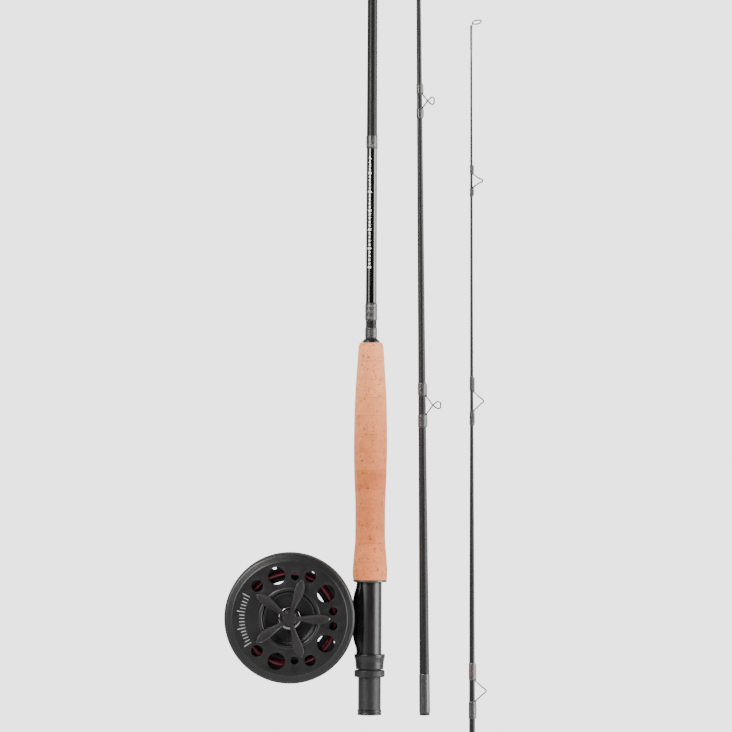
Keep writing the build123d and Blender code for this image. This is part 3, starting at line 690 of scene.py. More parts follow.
# the flat of the face, just below the ridge round the dish
BACK_FACE = RIDGE_TOP - 0.5
BACK_INNER = BACK_FACE - 2.6
FLAT_R = REEL_R - 5.5
HOUSING_R = 22.2
HOUSING_BORE = 19.8
SPINDLE_R = 3.0
# (angle from the rod side, distance from the middle, hole radius)
PORTS = [(9.7, 30.4, 2.9), (34.5, 30.5, 6.1), (63.5, 32.1, 3.9), (83.0, 29.2, 2.7), (107.0, 30.7, 6.0),
         (135.0, 31.6, 4.1)]


def back_plate():
    """The reel's ported face with a rounded rim, a dish in its middle and the drag's housing behind."""
    dish = above(BACK_FACE, (SPINDLE_R, -7.0), (SPINDLE_R, -5.0), (16.0, -5.0), (16.2, -3.5), (18.0, -3.1),
                 (18.35, -1.6), (18.9, -0.1), (19.7, 0.48), (20.5, 0.45), (21.3, 0.02))
    rim = above(BACK_FACE, (FLAT_R, 0.0), (FLAT_R + 0.5, -0.35), (REEL_R - 1.9, -1.05), (REEL_R - 0.9, -1.5))
    rim += above(BACK_INNER, (REEL_R - 0.15, 0.1), (REEL_R, -0.6), (REEL_R, -2.2), (REEL_R - 1.4, -2.2),
                 (REEL_R - 1.4, 0.0))
    housing = [(HOUSING_R, BACK_INNER), (HOUSING_R, HOUSING_MOUTH), (HOUSING_BORE, HOUSING_MOUTH),
               (HOUSING_BORE, BACK_FACE - 7)]
    plate = lathe("back_plate_turned", dish + rim + housing, 0.28, 256)
    cutters = [round_bar(radius, BACK_INNER - 2, BACK_FACE + 2, *polar(distance, side * angle))
               for angle, distance, radius in PORTS for side in (-1, 1)]
    dress(cut(plate, cutters, 0.30), "butt_section", "reel_metal", REEL, ["back_plate"], MARKED_METAL)


ARM_COUNT = 5
ARM_REACH = 28.2
ARM_UNDER = BACK_FACE + 0.95
ARM_TOP = BACK_FACE + 2.75
# half width of an arm at a distance from the middle, on its fuller side and its straighter side
LEAF_FULL = [(0.0, 1.6), (5.5, 1.6), (9.0, 1.85), (12.0, 2.4), (16.0, 3.5), (19.5, 3.95), (23.0, 3.35),
             (26.0, 2.1), (ARM_REACH, 0.35)]
LEAF_STRAIGHT = [(0.0, 1.6), (5.5, 1.6), (9.0, 1.65), (12.0, 1.9), (16.0, 2.5), (19.5, 2.95), (23.0, 2.8),
                 (26.0, 1.9), (ARM_REACH, 0.35)]


def knob_arm():
    """One leaf: a flat crown inside a raised, rounded edge, on a thin body."""
    along = 64
    across = [-1.0, -0.985, -0.94, -0.87, -0.78, -0.62, -0.35, 0.0, 0.35, 0.62, 0.78, 0.87, 0.94, 0.985, 1.0]
    crown = [0.45, 0.74, 0.94, 1.0, 0.97, 0.90, 0.86, 0.85, 0.86, 0.90, 0.97, 1.0, 0.94, 0.74, 0.45]
    top, bottom, vertices = [], [], []
    for i in range(along + 1):
        t = i / along
        distance = 3.0 + (ARM_REACH - 3.0) * (1 - (1 - t) ** 1.6)
        droop = min(1.0, (ARM_REACH - distance) / 1.8 + 0.40)
        inward = min(1.0, max(0.0, (distance - 4.5) / 4.0))
        row, under = [], []
        for share, height in zip(across, crown):
            half = curve_value(LEAF_FULL if share < 0 else LEAF_STRAIGHT, distance)
            level = 1 + (height - 1) * (inward if abs(share) < 0.86 else 1.0)
            z = ARM_UNDER + (ARM_TOP - ARM_UNDER) * level * droop
            row.append(len(vertices))
            vertices.append((distance * MM, share * half * MM, z * MM))
            under.append(len(vertices))
            vertices.append((distance * MM, share * half * MM, (ARM_UNDER + 0.15 * abs(share) ** 8) * MM))
        top.append(row)
        bottom.append(under)
    faces = []
    last = len(across) - 1
    for i in range(along):
        for k in range(last):
            faces.append((top[i][k], top[i + 1][k], top[i + 1][k + 1], top[i][k + 1]))
            faces.append((bottom[i][k], bottom[i][k + 1], bottom[i + 1][k + 1], bottom[i + 1][k]))
        faces.append((top[i][0], bottom[i][0], bottom[i + 1][0], top[i + 1][0]))
        faces.append((top[i][last], top[i + 1][last], bottom[i + 1][last], bottom[i][last]))
    for i in (0, along):
        for k in range(last):
            faces.append((top[i][k], top[i][k + 1], bottom[i][k + 1], bottom[i][k]))
    return object_from("leaf", vertices, faces, 40)


def pentagon(radius, angle):
    """The radius of a five-sided outline with corners between the arms and eased a little."""
    sector = tau / ARM_COUNT
    off = (angle + sector / 2) % sector - sector / 2
    return min(radius * cos(sector / 2) / cos(off), 0.95 * radius)


def star_knob():
    """Five leaves on a five-sided hub, with a sleeve down into the dish."""
    arms = [moved(knob_arm(), turn=angle) for angle in spread_round(ARM_COUNT)]
    hub = lathe("hub", [(0, ARM_UNDER - 0.3), (4.4, ARM_UNDER - 0.3), (5.3, ARM_UNDER + 0.1), (5.3, ARM_TOP - 0.5),
                        (4.9, ARM_TOP - 0.12), (3.6, ARM_TOP - 0.04), (0, ARM_TOP)], 0.2, 120,
                shape=lambda radius, _, angle: pentagon(radius, angle))
    sleeve_foot, sleeve_top, bore = BACK_FACE - 4.5, ARM_UNDER + 0.4, SPINDLE_R + 0.06
    outline = [(bore, sleeve_foot), (4.4, sleeve_foot), (4.4, sleeve_top), (bore, sleeve_top)]
    sleeve = lathe("sleeve", outline, 0.2, 64)
    knob = joined("star_knob_sculpted", arms + [hub, sleeve])
    knob.data.shade_smooth()
    knob.data.set_sharp_from_angle(angle=radians(35))
    dress(knob, "drag_knob", "knob_black", REEL, ["star_knob"])


def drag_nut():
    nut = lathe("drag_nut_turned", above(BACK_FACE - 4.7, (4.44, 0), (8.0, 0), (8.0, 1.6), (7.4, 2.3), (5.6, 2.4),
                                         (4.44, 1.8)), 0.3, 96)
    dress(nut, "drag_knob", "stainless", REEL, ["drag_nut"], NUT_METAL)


back_plate()
star_knob()
drag_nut()


# ---- the reel: frame, spool and handle --------------------------------------------------------
FACE = reel_heights("spool_front_plate")[0]
WEB_IN = FACE + 1.9
DRUM_OUT = 33.2
DRUM_IN = 29.9
LINER_IN = 25.9
FLANGE = radius_mm("spool_back_flange")
FLANGE_LOW, FLANGE_TOP = 8.2, 9.6
WINDOWS = 6
WINDOW_TURN = 43.0
SMALL_PORT_R = 1.8
SMALL_PORT_AT = 36.2
SMALL_PORT_ANGLES = spread_round(8, 17.5)
SCREW_AT = 10.7
SCREW_ANGLES = spread_round(6, 30)
HANDLE_AT = 34.5
PILLAR_AT = 41.4
PILLAR_ANGLES = (75, 180, 285)
BRIDGE_SCREW_ANGLES = (-10, 10)
RING_IN, RING_OUT = 39.3, 43.2
RING_LOW = reel_heights("front_ring")[0]
RING_TOP = RING_LOW + 2.4
STEM_HALF_HEIGHT = 10.7
STEM_HALF_WIDTH = 5.0
# the heights between which the release latch slides
LATCH_LOW, LATCH_HIGH = -15.85, -15.15


def window_cutter():
    """The opening between two spokes: a sector with rounded corners."""
    inner, outer, half_spoke = 12.9, LINER_IN, 2.6
    half = pi / WINDOWS
    points = []
    for radius, steps, sign in ((outer, 25, 1), (inner, 11, -1)):
        limit = half - asin(half_spoke / radius)
        for k in range(steps):
            angle = sign * limit * (2 * k / (steps - 1) - 1)
            points.append((radius * cos(angle), radius * sin(angle)))
    corners = rounded([(x + 100, y) for x, y in points], 1.2)
    return prism("window", [(x - 100, y) for x, y in corners], FACE - 2, WEB_IN + 2)


def spool_front():
    """The spool's spoked front plate, with holes for the handle pin, the counterweight and the hub screws."""
    outline = [(4.6, WEB_IN), (4.6, FACE), (FLAT_R, FACE), (REEL_R - 0.5, FACE + 2.0), (REEL_R, FACE + 2.7),
               (REEL_R, -8.8), (43.6, -8.8), (43.6, WEB_IN)]
    plate = lathe("spool_front_turned", outline, 0.3, 256)
    below, beyond = FACE - 2, WEB_IN + 2
    cutters = [moved(window_cutter(), turn=angle) for angle in spread_round(WINDOWS, WINDOW_TURN)]
    cutters += bars_at(SMALL_PORT_AT, SMALL_PORT_ANGLES, SMALL_PORT_R, below, beyond)
    cutters += bars_at(HANDLE_AT, (0, 180), 1.6, below, beyond)
    cutters += bars_at(SCREW_AT, SCREW_ANGLES, 1.5, below, beyond)
    dress(cut(plate, cutters, 0.22), "spool", "spool_metal", REEL, ["spool_front_plate"])


def spool_drum():
    """The arbor: a red anodised drum with a rounded lip over the flange, its liner, and the flange itself."""
    lip, lip_foot = 0.45, 9.65
    half = (DRUM_OUT - DRUM_IN) / 2 + lip
    bead = [(DRUM_OUT + lip - half + half * cos(radians(a)), lip_foot + 0.75 * sin(radians(a)))
            for a in range(0, 181, 15)]
    wall = [(DRUM_OUT, WEB_IN), (DRUM_OUT, WEB_IN + 1.4), (DRUM_OUT - 0.25, WEB_IN + 1.7), (DRUM_OUT - 0.25, 7.6),
            (DRUM_OUT, 7.9), (DRUM_OUT, lip_foot)]
    drum = lathe("arbor_ring_turned", wall + bead + [(DRUM_IN, lip_foot), (DRUM_IN, WEB_IN)], 0.1, 224)
    dress(drum, "spool", "arbor_red", REEL, ["arbor_ring"])
    outer, top = DRUM_IN - 0.02, 8.3
    outline = [(outer, WEB_IN), (outer, top), (LINER_IN, top), (LINER_IN, WEB_IN)]
    liner = lathe("arbor_liner_turned", outline, 0.3, 224)
    dress(liner, "spool", "spool_metal", REEL, ["arbor_liner"])
    inner = DRUM_OUT + 0.02
    flange = lathe("spool_back_flange_turned", [(FLANGE, FLANGE_LOW), (FLANGE, FLANGE_TOP), (inner, FLANGE_TOP),
                                                (inner, FLANGE_LOW)], 0.3, 224)
    cutters = bars_at(SMALL_PORT_AT, SMALL_PORT_ANGLES, SMALL_PORT_R, 6, 11)
    dress(cut(flange, cutters, 0.2), "spool", "spool_metal", REEL, ["spool_back_flange"])


def frame_parts():
    """The front ring, the pillars that hold it to the back plate, and the ring's screws."""
    ring = lathe("front_ring_turned", [(RING_OUT, RING_LOW), (RING_OUT, RING_TOP), (RING_IN, RING_TOP),
                                       (RING_IN, RING_LOW)], 0.4, 224)
    screw_angles = PILLAR_ANGLES + BRIDGE_SCREW_ANGLES
    sinks = bars_at(PILLAR_AT, screw_angles, 1.75, RING_LOW - 1, RING_LOW + 0.95)
    dress(cut(ring, sinks, 0.15), "butt_section", "reel_metal", REEL, ["front_ring"])
    outline = [(0, RING_TOP), (2.1, RING_TOP), (2.1, RING_TOP + 2), (1.75, RING_TOP + 3), (1.75, BACK_INNER - 3),
               (2.1, BACK_INNER - 2), (2.1, BACK_INNER), (0, BACK_INNER)]
    pillars = [moved(lathe("pillar", outline, 0.3, 64), *polar(PILLAR_AT, angle)) for angle in PILLAR_ANGLES]
    dress(joined("frame_pillars_turned", pillars), "butt_section", "reel_metal", REEL, ["frame_pillars"])
    screws = [moved(socket_screw(1.7, 1.0, 0.9, 2.4), *polar(PILLAR_AT, angle), RING_LOW + 0.05)
              for angle in screw_angles]
    dress(joined("frame_screws_socketed", screws), "butt_section", "screw_black", REEL, ["frame_screws"])


def socket_screw(head_r, shank_r, head_high, length):
    """A pan-headed screw with a six-sided recess in its head, head down at z 0, shank upwards."""
    screw = lathe("screw", [(0, 0), (head_r - 0.2, 0), (head_r, 0.3), (head_r, head_high), (shank_r, head_high),
                            (shank_r, length), (0, length)], 0.15, 48)
    return cut(screw, [round_bar(head_r * 0.48, -1, head_high * 0.75, segments=6)], 0.05)


def spool_screws():
    screws = [moved(socket_screw(1.45, 1.0, 0.6, 3.3), *polar(SCREW_AT, angle), FACE - 0.6)
              for angle in SCREW_ANGLES]
    dress(joined("spool_screws_socketed", screws), "spool", "screw_black", REEL, ["spool_screws"])


def handle_parts():
    """The grooved knob on its pin and washer, and the counterweight across from it."""
    at = REEL @ Matrix.Translation((-HANDLE_AT * MM, 0, 0))
    low, high = reel_heights("handle_knob")
    bore = 1.66
    stations = [(low + 1.6, 6.75), (low + 4.5, 6.9), (low + 8.5, 6.3), (low + 13.0, 5.4), (low + 17.5, 4.75),
                (low + 20.0, 4.75), (high - 0.9, 5.0)]
    side = []
    for k in range(25):
        height = low + 1.6 + (high - low - 2.5) * k / 24
        dip = sum(0.28 * exp(-((height - (low + groove)) / 0.45) ** 2) for groove in (5.6, 7.8, 10.0))
        side.append((curve_value(stations, height) - dip, height))
    outline = above(low, (bore, 0.4), (3.4, 0.4), (3.8, 0), (5.6, 0), (6.4, 0.5)) + side
    outline += [(4.5, high), (bore, high)]
    dress(lathe("handle_knob_turned", outline, 0.25, 128), "handle_knob", "handle_black", at, ["handle_knob"])
    hole = bore - 0.05
    washer = lathe("handle_washer_turned", above(FACE, (hole, -0.8), (4.2, -0.8), (4.2, 0), (hole, 0)), 0.2, 96)
    dress(washer, "spool", "stainless", at, ["handle_washer"])
    head = above(low, (0, -1.5), (2.4, -1.5), (3.2, -0.9), (3.2, -0.35), (1.6, -0.35))
    pin = lathe("handle_pin_turned", head + [(1.6, WEB_IN), (0, WEB_IN)], 0.15, 64)
    slot = box_between(-4, 4, -0.35, 0.35, low - 2, low - 0.95)
    dress(cut(pin, [slot], 0.06), "spool", "stainless", at, ["handle_pin"])
    drum = above(FACE, (0, -2.5), (2.2, -2.5), (2.6, -2.8), (4.9, -2.8), (5.6, -2.1), (5.6, 0), (1.58, 0))
    weight = lathe("counterweight_turned", drum + [(1.58, WEB_IN), (0, WEB_IN)], 0.3, 96)
    weight_at = REEL @ Matrix.Translation((HANDLE_AT * MM, 0, 0))
    dress(weight, "spool", "spool_metal", weight_at, ["counterweight"])


def foot_bridge():
    """The curved block between the plates that carries the reel foot, and its two screws."""
    half_angle = 14.2
    arc = [half_angle * (k / 12 - 1) for k in range(25)]
    outline = [polar(RING_OUT, a) for a in arc] + [polar(RING_IN, a) for a in reversed(arc)]
    block = prism("foot_bridge_milled", outline, RING_TOP, BACK_INNER)
    screws_at = (-6.0, 6.0)
    seats = [moved(round_bar(radius, low, high), RING_IN, y, tilt=90)
             for y in screws_at for radius, low, high in ((2.3, -1, 1.4), (1.25, 0, 7))]
    dress(cut(block, seats, 0.3), "butt_section", "reel_metal", REEL, ["foot_bridge"])
    screws = [moved(socket_screw(2.15, 1.15, 1.2, 6.1), RING_IN + 0.22, y, tilt=90) for y in screws_at]
    dress(joined("foot_screws_socketed", screws), "butt_section", "screw_black", REEL, ["foot_screws"])


def reel_foot():
    """A saddle that lies along the barrel, thin at both ends, with a stem up to the bridge."""
    low, high = heights("reel_foot")
    centre = REEL_CENTRE.z / MM
    saddle = 8.19
    rise = [(low, 8.95), (low + 0.5, 9.28), (low + 8, 9.3), (centre - 15, 11.2), (centre - 11, 11.75),
            (centre + 11, 11.75), (centre + 15, 11.2), (high - 8, 9.3), (high - 0.5, 9.28), (high, 8.95)]
    half_width = [(low, 3.5), (low + 1.2, 4.5), (centre - 15, 6.9), (centre + 15, 6.9), (high - 1.2, 4.5),
                  (high, 3.5)]
    along, across = 72, 28
    vertices, faces = [], []
    for i in range(along + 1):
        z = low + (high - low) * i / along
        half, outer = curve_value(half_width, z), curve_value(rise, z)
        crown = [half * sin(pi / 2 * (2 * k / across - 1)) for k in range(across + 1)]
        loop = []
        for y in crown:
            eased = 0.55 * max(0.0, (abs(y) / half - 0.86) / 0.14) ** 2
            loop.append((-sqrt(outer ** 2 - y * y) + eased, y))
        loop += [(-sqrt(saddle ** 2 - y * y), y) for y in reversed(crown)]
        vertices += [(x * MM, y * MM, z * MM) for x, y in loop]
    ring = 2 * (across + 1)
    for i in range(along):
        for k in range(ring):
            m = (k + 1) % ring
            faces.append((i * ring + k, i * ring + m, (i + 1) * ring + m, (i + 1) * ring + k))
    faces += [tuple(range(ring)), tuple(range(along * ring, (along + 1) * ring))]
    foot = object_from("reel_foot_saddle", vertices, faces, 40)
    stem_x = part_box("reel_foot")[0].x / MM
    stem = box_between(stem_x, -11.0, -STEM_HALF_WIDTH, STEM_HALF_WIDTH, centre - STEM_HALF_HEIGHT,
                       centre + STEM_HALF_HEIGHT)
    hollow = round_bar(RING_OUT + 0.03, -20, 20, segments=256)
    hollow.data.transform(REEL)
    foot = joined("reel_foot_milled", [foot, cut(stem, [hollow], 0.35)])
    dress(foot, "butt_section", "reel_metal", BUTT, ["reel_foot"], FOOT_METAL_PAINTED_SHADE)


def spindle():
    """The post the spool turns on, with the groove that the latch drops into."""
    groove_low, groove_high, groove_r = -15.95, -15.05, SPINDLE_R - 0.5
    outline = [(0, -16.5), (0.7, -16.8), (SPINDLE_R - 0.35, -16.8), (SPINDLE_R, -16.45), (SPINDLE_R, groove_low),
               (groove_r, groove_low), (groove_r, groove_high), (SPINDLE_R, groove_high)]
    outline += above(BACK_FACE, (SPINDLE_R, 0), (SPINDLE_R - 0.4, 0.4), (0, 0.4))
    dress(lathe("spindle_turned", outline, 0.08, 96), "butt_section", "stainless", REEL, ["spindle"])


def spool_centre():
    """The hub boss, the cap over it and the sliding latch that holds the spool on the spindle."""
    bore = 3.56
    hub = lathe("spool_hub_turned", [
        (bore, 6.4), (bore, FACE), (4.6, FACE), (4.6, WEB_IN), (12.2, WEB_IN), (12.2, -11.3), (11.8, -10.9),
        (9.2, -10.9), (9.0, -10.7), (9.0, -5.9), (8.7, -5.6), (4.6, -5.6), (4.6, 6.1), (4.3, 6.4)], 0.18, 128)
    sinks = bars_at(SCREW_AT, SCREW_ANGLES, 1.0, -20, -11.2, 24)
    dress(cut(hub, sinks, 0), "spool", "spool_metal", REEL, ["spool_hub"])
    cap_low = FACE - 3.6
    crown = above(cap_low, (0, 0.1), (2.5, 0.1), (2.9, 0.3), (3.4, 0.3), (3.8, 0), (7.6, 0), (8.6, 0.5),
                  (8.9, 1.2))
    inside = [(8.9, FACE), (7.7, FACE), (7.7, cap_low + 1.2), (0, cap_low + 1.2)]
    cap = lathe("release_cap_turned", crown + inside, 0.2, 128)
    cap = cut(cap, [box_between(5.5, 12.0, -2.5, 2.5, LATCH_LOW - 0.3, FACE + 1)], 0)
    cap = cut(cap, [box_between(7.9, 12.0, -2.5, 2.5, cap_low - 1.0, LATCH_LOW)], 0.15)
    dress(cap, "spool", "spool_metal", REEL, ["release_cap"])
    side = [(-5.2, -3.2), (-3.6, -4.4), (3.6, -4.4), (4.8, -2.1), (10.8, -2.1)]
    outline = side + [(x, -y) for x, y in reversed(side)]
    latch = prism("release_latch_stamped", outline, LATCH_LOW, LATCH_HIGH)
    for bar in [round_bar(SPINDLE_R - 0.36, -20, 0), round_bar(SPINDLE_R + 0.3, -20, 0, 1.5)]:
        latch = cut(latch, [bar], 0)
    latch = cut(latch, [box_between(10.9, 12, -3, 3, -30, 0)], 0.08)
    tab = box_between(9.6, 10.8, -2.1, 2.1, cap_low + 0.6, LATCH_HIGH)
    ridges = []
    for k in range(3):
        foot = cap_low + 0.9 + 0.55 * k
        ridges.append(box_between(10.65, 11.2, -2.5, 2.5, foot, foot + 0.2))
    latch = joined("release_latch_ridged", [latch, cut(tab, ridges, 0.06)])
    dress(latch, "release_latch", "stainless", REEL, ["release_latch"])


spool_front()
spool_drum()
frame_parts()
spool_screws()
handle_parts()
foot_bridge()
reel_foot()
spindle()
spool_centre()


# ---- the butt section ---------------------------------------------------------------------------
GRIP_LOW, GRIP_HIGH = heights("cork_rings")
BARREL_HIGH = heights("seat_barrel")[1]
BUTT_FOOT_Z, SECTION_TOP = heights("butt_blank")
BUTT_FOOT_R = radius_mm("butt_blank")
SHOULDER = 800.0
SOCKET_DEPTH = 48


def butt_radius(z):
    """Blank radius in mm at a height, up to the shoulder of the spigot."""
    return BUTT_FOOT_R + (2.80 - BUTT_FOOT_R) * (z - BUTT_FOOT_Z) / (SHOULDER - BUTT_FOOT_Z)


def tapered(name, stations, tip_bore, foot_bore, socket_bore=None, segments=72):
    """A hollow tapering blank through (height, radius) stations, with or without a socket in its foot."""
    top, low = stations[-1][0], stations[0][0]
    inner = [(tip_bore, top)]
    if socket_bore:
        inner += above(low + SOCKET_DEPTH, (foot_bore, 4), (socket_bore, 0))
    inner.append((socket_bore or foot_bore, low))
    return lathe(name, [(radius, height) for height, radius in stations] + inner, 0.15, segments)


def butt_blank():
    stations = [(BUTT_FOOT_Z, BUTT_FOOT_R)]
    stations += [(z, butt_radius(z)) for z in (100, 200, 300, 400, 500, 600, 700, SHOULDER)]
    stations += [(SHOULDER + 0.4, 2.75), (SECTION_TOP - 0.5, 2.75), (SECTION_TOP, 2.40)]
    blank = tapered("butt_blank_wound", stations, 1.75, 3.3)
    paint = blank_paint("blank_butt", 0.20, gloss=(0.2845, 0.3908), ticks=(0.3070, 0.3850, 0.0026, 0.24, -1.95))
    dress(blank, "butt_section", "blank_graphite", BUTT, ["butt_blank"], paint)


# the limits of a cork mark's half length, half height and depth in mm, and of its darkness
CORK_MARKS = {
    "knot": ((1.1, 2.6), (0.8, 1.8), (0.02, 0.05), (0.25, 0.55)),
    "pit": ((0.15, 0.55), (0.14, 0.38), (0.06, 0.22), (0.3, 1.0)),
    "slot": ((0.5, 1.5), (0.20, 0.42), (0.15, 0.42), (0.8, 1.0)),
    "fleck": ((0.10, 0.30), (0.08, 0.20), (0.02,), (0.15, 0.5)),
}


def cork_grip():
    """Thirteen glued cork rings turned to one shape, with slots, pits and knots, and faint grooves between."""
    rows, around = 900, 560
    tall = GRIP_HIGH - GRIP_LOW
    stations = [(0.0, 11.35), (0.9, 11.70), (5.0, 12.0), (16.5, 11.25), (30.0, 10.3), (46.0, 10.25), (73.0, 11.1),
                (92.0, 11.5), (121.0, 11.0), (149.0, 9.4), (160.0, 8.6), (162.6, 8.15), (tall, 7.45)]
    ring_height = tall / CORK_RING_COUNT
    heights_up = np.linspace(0.0, tall, rows)
    profile = np.array([curve_value(stations, h) for h in heights_up])
    depth = np.zeros((rows, around))
    dark = np.zeros((rows, around))
    chance = random.Random(41)
    angles = np.linspace(0, tau, around, endpoint=False)
    marks = []
    for ring in range(CORK_RING_COUNT):
        share = chance.uniform(0.6, 1.5)
        marks += [(ring, "knot")] * chance.choice((0, 1, 1, 2, 3))
        for kind, number in (("pit", 80), ("slot", 16), ("fleck", 190)):
            marks += [(ring, kind)] * int(number * share)
    for ring, kind in marks:
        z = (ring + chance.uniform(0.02, 0.98)) * ring_height
        angle = chance.uniform(0, tau)
        half_long, half_high, deep, tone = (
            chance.uniform(*limits) if len(limits) == 2 else limits[0] for limits in CORK_MARKS[kind])
        bend = 0.8 if kind == "slot" else 0.15
        lean = chance.gauss(0.0, 0.35) + (pi / 2 if chance.random() < 0.25 else 0.0)
        radius = curve_value(stations, z)
        reach = max(half_long, half_high) * 2.4
        first_row = max(0, int((z - reach) / tall * (rows - 1)))
        last_row = min(rows, int((z + reach) / tall * (rows - 1)) + 2)
        span = int(reach / radius / tau * around) + 2
        centre = int(angle / tau * around)
        columns = np.arange(centre - span, centre + span + 1) % around
        dz = heights_up[first_row:last_row, None] - z
        dx = ((angles[columns] - angle + pi) % tau - pi)[None, :] * radius
        wobble = 1 + 0.28 * np.sin(dx * 3.1 + z) * np.cos(dz * 4.3 + angle)
        u = (dx * cos(lean) + dz * sin(lean)) / (half_long * wobble)
        v = (dz * cos(lean) - dx * sin(lean)) / (half_high * wobble) + bend * np.sin(2.6 * u + angle)
        stamp = np.clip(1.15 - (u * u + v * v), 0, 1) ** 0.7
        patch = np.ix_(np.arange(first_row, last_row), columns)
        depth[patch] = np.maximum(depth[patch], stamp * deep)
        dark[patch] = np.maximum(dark[patch], stamp * tone)
    for joint in range(1, CORK_RING_COUNT):
        seam = joint * ring_height
        wave = 0.10 * np.sin(angles * 2 + joint * 1.7)
        gap = np.exp(-((heights_up[:, None] - seam - wave[None, :]) / 0.13) ** 2)
        strength = (0.5 + 0.5 * np.sin(angles * 5 + joint * 2.3) * np.sin(angles * 3 + joint))[None, :]
        depth += gap * (0.03 + 0.04 * strength)
        dark = np.maximum(dark, gap * (0.18 + 0.25 * strength))
    radius_grid = profile[:, None] - depth
    x = radius_grid * np.cos(angles)[None, :]
    y = radius_grid * np.sin(angles)[None, :]
    z = np.repeat(heights_up[:, None] + GRIP_LOW, around, axis=1)
    outer = np.stack([x, y, z], axis=2).reshape(-1, 3) * MM
    # the bore, from the top down: round the blank, then the fixed hood, then the end ring
    hood_r, hood_top, hood_end, ring_r = 8.2, GRIP_LOW + 12.05, GRIP_LOW + 10.1, 10.26
    loops = [(butt_radius(GRIP_HIGH) + 0.05, GRIP_HIGH), (butt_radius(GRIP_LOW) + 0.05, hood_top),
             (hood_r, hood_top), (hood_r, hood_end), (ring_r, hood_end), (ring_r, GRIP_LOW)]
    inner = np.array([(r * cos(a), r * sin(a), h) for r, h in loops for a in angles]) * MM
    vertices = np.concatenate([outer, inner])
    total_rows = rows + len(loops)
    here = np.arange(total_rows)[:, None] * around
    above_here = (np.arange(total_rows)[:, None] + 1) % total_rows * around
    column = np.arange(around)[None, :]
    next_column = (column + 1) % around
    quads = np.stack([here + column, here + next_column, above_here + next_column, above_here + column], axis=2)
    mesh = bpy.data.meshes.new("cork_grip_turned")
    mesh.from_pydata(vertices.tolist(), [], quads.reshape(-1, 4).tolist())
    mesh.shade_smooth()
    mesh.set_sharp_from_angle(angle=radians(60))
    layer = mesh.attributes.new("pit", "FLOAT", "POINT")
    values = np.zeros(len(vertices), dtype=np.float32)
    values[:rows * around] = dark.reshape(-1)
    layer.data.foreach_set("value", values)
    piece = bpy.data.objects.new("cork_grip_turned", mesh)
    bpy.context.scene.collection.objects.link(piece)
    dress(piece, "butt_section", "cork", BUTT, ["cork_rings"])


# the seat's barrel and cap
THREAD_R, THREAD_ROOT, THREAD_PITCH, THREAD_END = 7.85, 7.79, 1.0, 28.0
BARREL_BORE = 6.9
CAP_TOP = 3.6


def seat_barrel():
    """The seat's tube: fine threads below, plain above, a touch wider from where the threads end."""
    low = CAP_TOP + 0.05
    thread = []
    for k in range(int((THREAD_END - low) / THREAD_PITCH)):
        thread += above(low + 1.0 + k * THREAD_PITCH, (THREAD_R, 0), (THREAD_R, 0.45), (THREAD_ROOT, 0.60),
                        (THREAD_ROOT, 0.85))
    foot = above(low, (BARREL_BORE, 0), (THREAD_R - 0.05, 0), (THREAD_R, 0.4))
    plain = [(THREAD_R, 30.0), (THREAD_R, 33.0), (8.15, 33.4), (8.15, BARREL_HIGH), (BARREL_BORE, BARREL_HIGH)]
    barrel = lathe("seat_barrel_turned", foot + thread + plain, 0.12, 192)
    dress(barrel, "butt_section", "seat_metal", BUTT, ["seat_barrel"], BARREL_METAL)


def lock_ring():
    """The knurled ring that screws along the barrel."""
    low, high = heights("lock_ring")
    radius, bore, ridges, ridge_depth = radius_mm("lock_ring"), 7.95, 60, 0.05

    def knurled(r, _, angle):
        return r if r < radius - 0.05 else r - ridge_depth * (0.5 - 0.5 * cos(angle * ridges))

    lower = above(low, (bore, 0), (radius - 0.7, 0), (radius - 0.12, 0.5), (radius, 0.9))
    band = [(radius, low + 0.9 + 0.25 * k) for k in range(1, 11)]
    upper = above(high, (radius, -0.9), (radius - 0.12, -0.5), (radius - 0.7, 0), (bore, 0))
    ring = lathe("lock_ring_knurled", lower + band + upper, 0.08, 720, shape=knurled)
    dress(ring, "lock_ring", "seat_metal", BUTT, ["lock_ring"], RING_METAL)


def foot_pocket(radius, half_width, low, high):
    """The room a hood leaves for one end of the reel foot, on the side towards the reel."""
    bar = round_bar(radius, low, high, segments=96)
    slab = box_between(-20, -5, -half_width, half_width, low - 1, high + 1)
    return cut(bar, [slab], 0, "INTERSECT")


def sliding_hood():
    """The hood that the lock ring pushes over the lower end of the reel foot."""
    low, high = heights("sliding_hood")
    radius, bore = radius_mm("sliding_hood"), 8.25
    lower = above(low, (bore, 0), (9.3, 0), (9.5, 0.3), (9.78, 4.6))
    upper = above(high, (radius - 0.42, -2.7), (radius - 0.22, -2.5), (radius, -0.35), (radius - 0.25, 0),
                  (bore, 0))
    hood = lathe("sliding_hood_turned", lower + upper, 0.2, 192)
    hood = cut(hood, [foot_pocket(9.6, 6.0, 36.0, high + 1)], 0.15)
    dress(hood, "hood", "seat_metal", BUTT, ["sliding_hood"])


def fixed_hood():
    """The hood inside the grip's lowest ring, showing only its end."""
    outline = above(GRIP_LOW, (8.2, -1.2), (10.0, -1.2), (10.2, -0.9), (10.2, 10), (8.2, 10))
    hood = lathe("fixed_hood_turned", outline, 0.15, 160)
    hood = cut(hood, [foot_pocket(9.55, 6.2, 85.0, 99.6)], 0.1)
    dress(hood, "butt_section", "seat_metal", BUTT, ["fixed_hood"])


def butt_cap():
    radius = radius_mm("butt_cap")
    rim, groove = radius - 0.05, radius - 0.45
    outline = [(0, 0.0), (radius - 2.2, 0.0), (radius - 0.5, 0.0), (radius, 0.45), (radius, 1.25), (groove, 1.75),
               (groove, 2.2), (rim, 2.55), (rim, CAP_TOP), (6.85, CAP_TOP), (6.85, 11), (0, 11)]
    dress(lathe("butt_cap_turned", outline, 0.3, 160), "butt_section", "seat_metal", BUTT, ["butt_cap"])


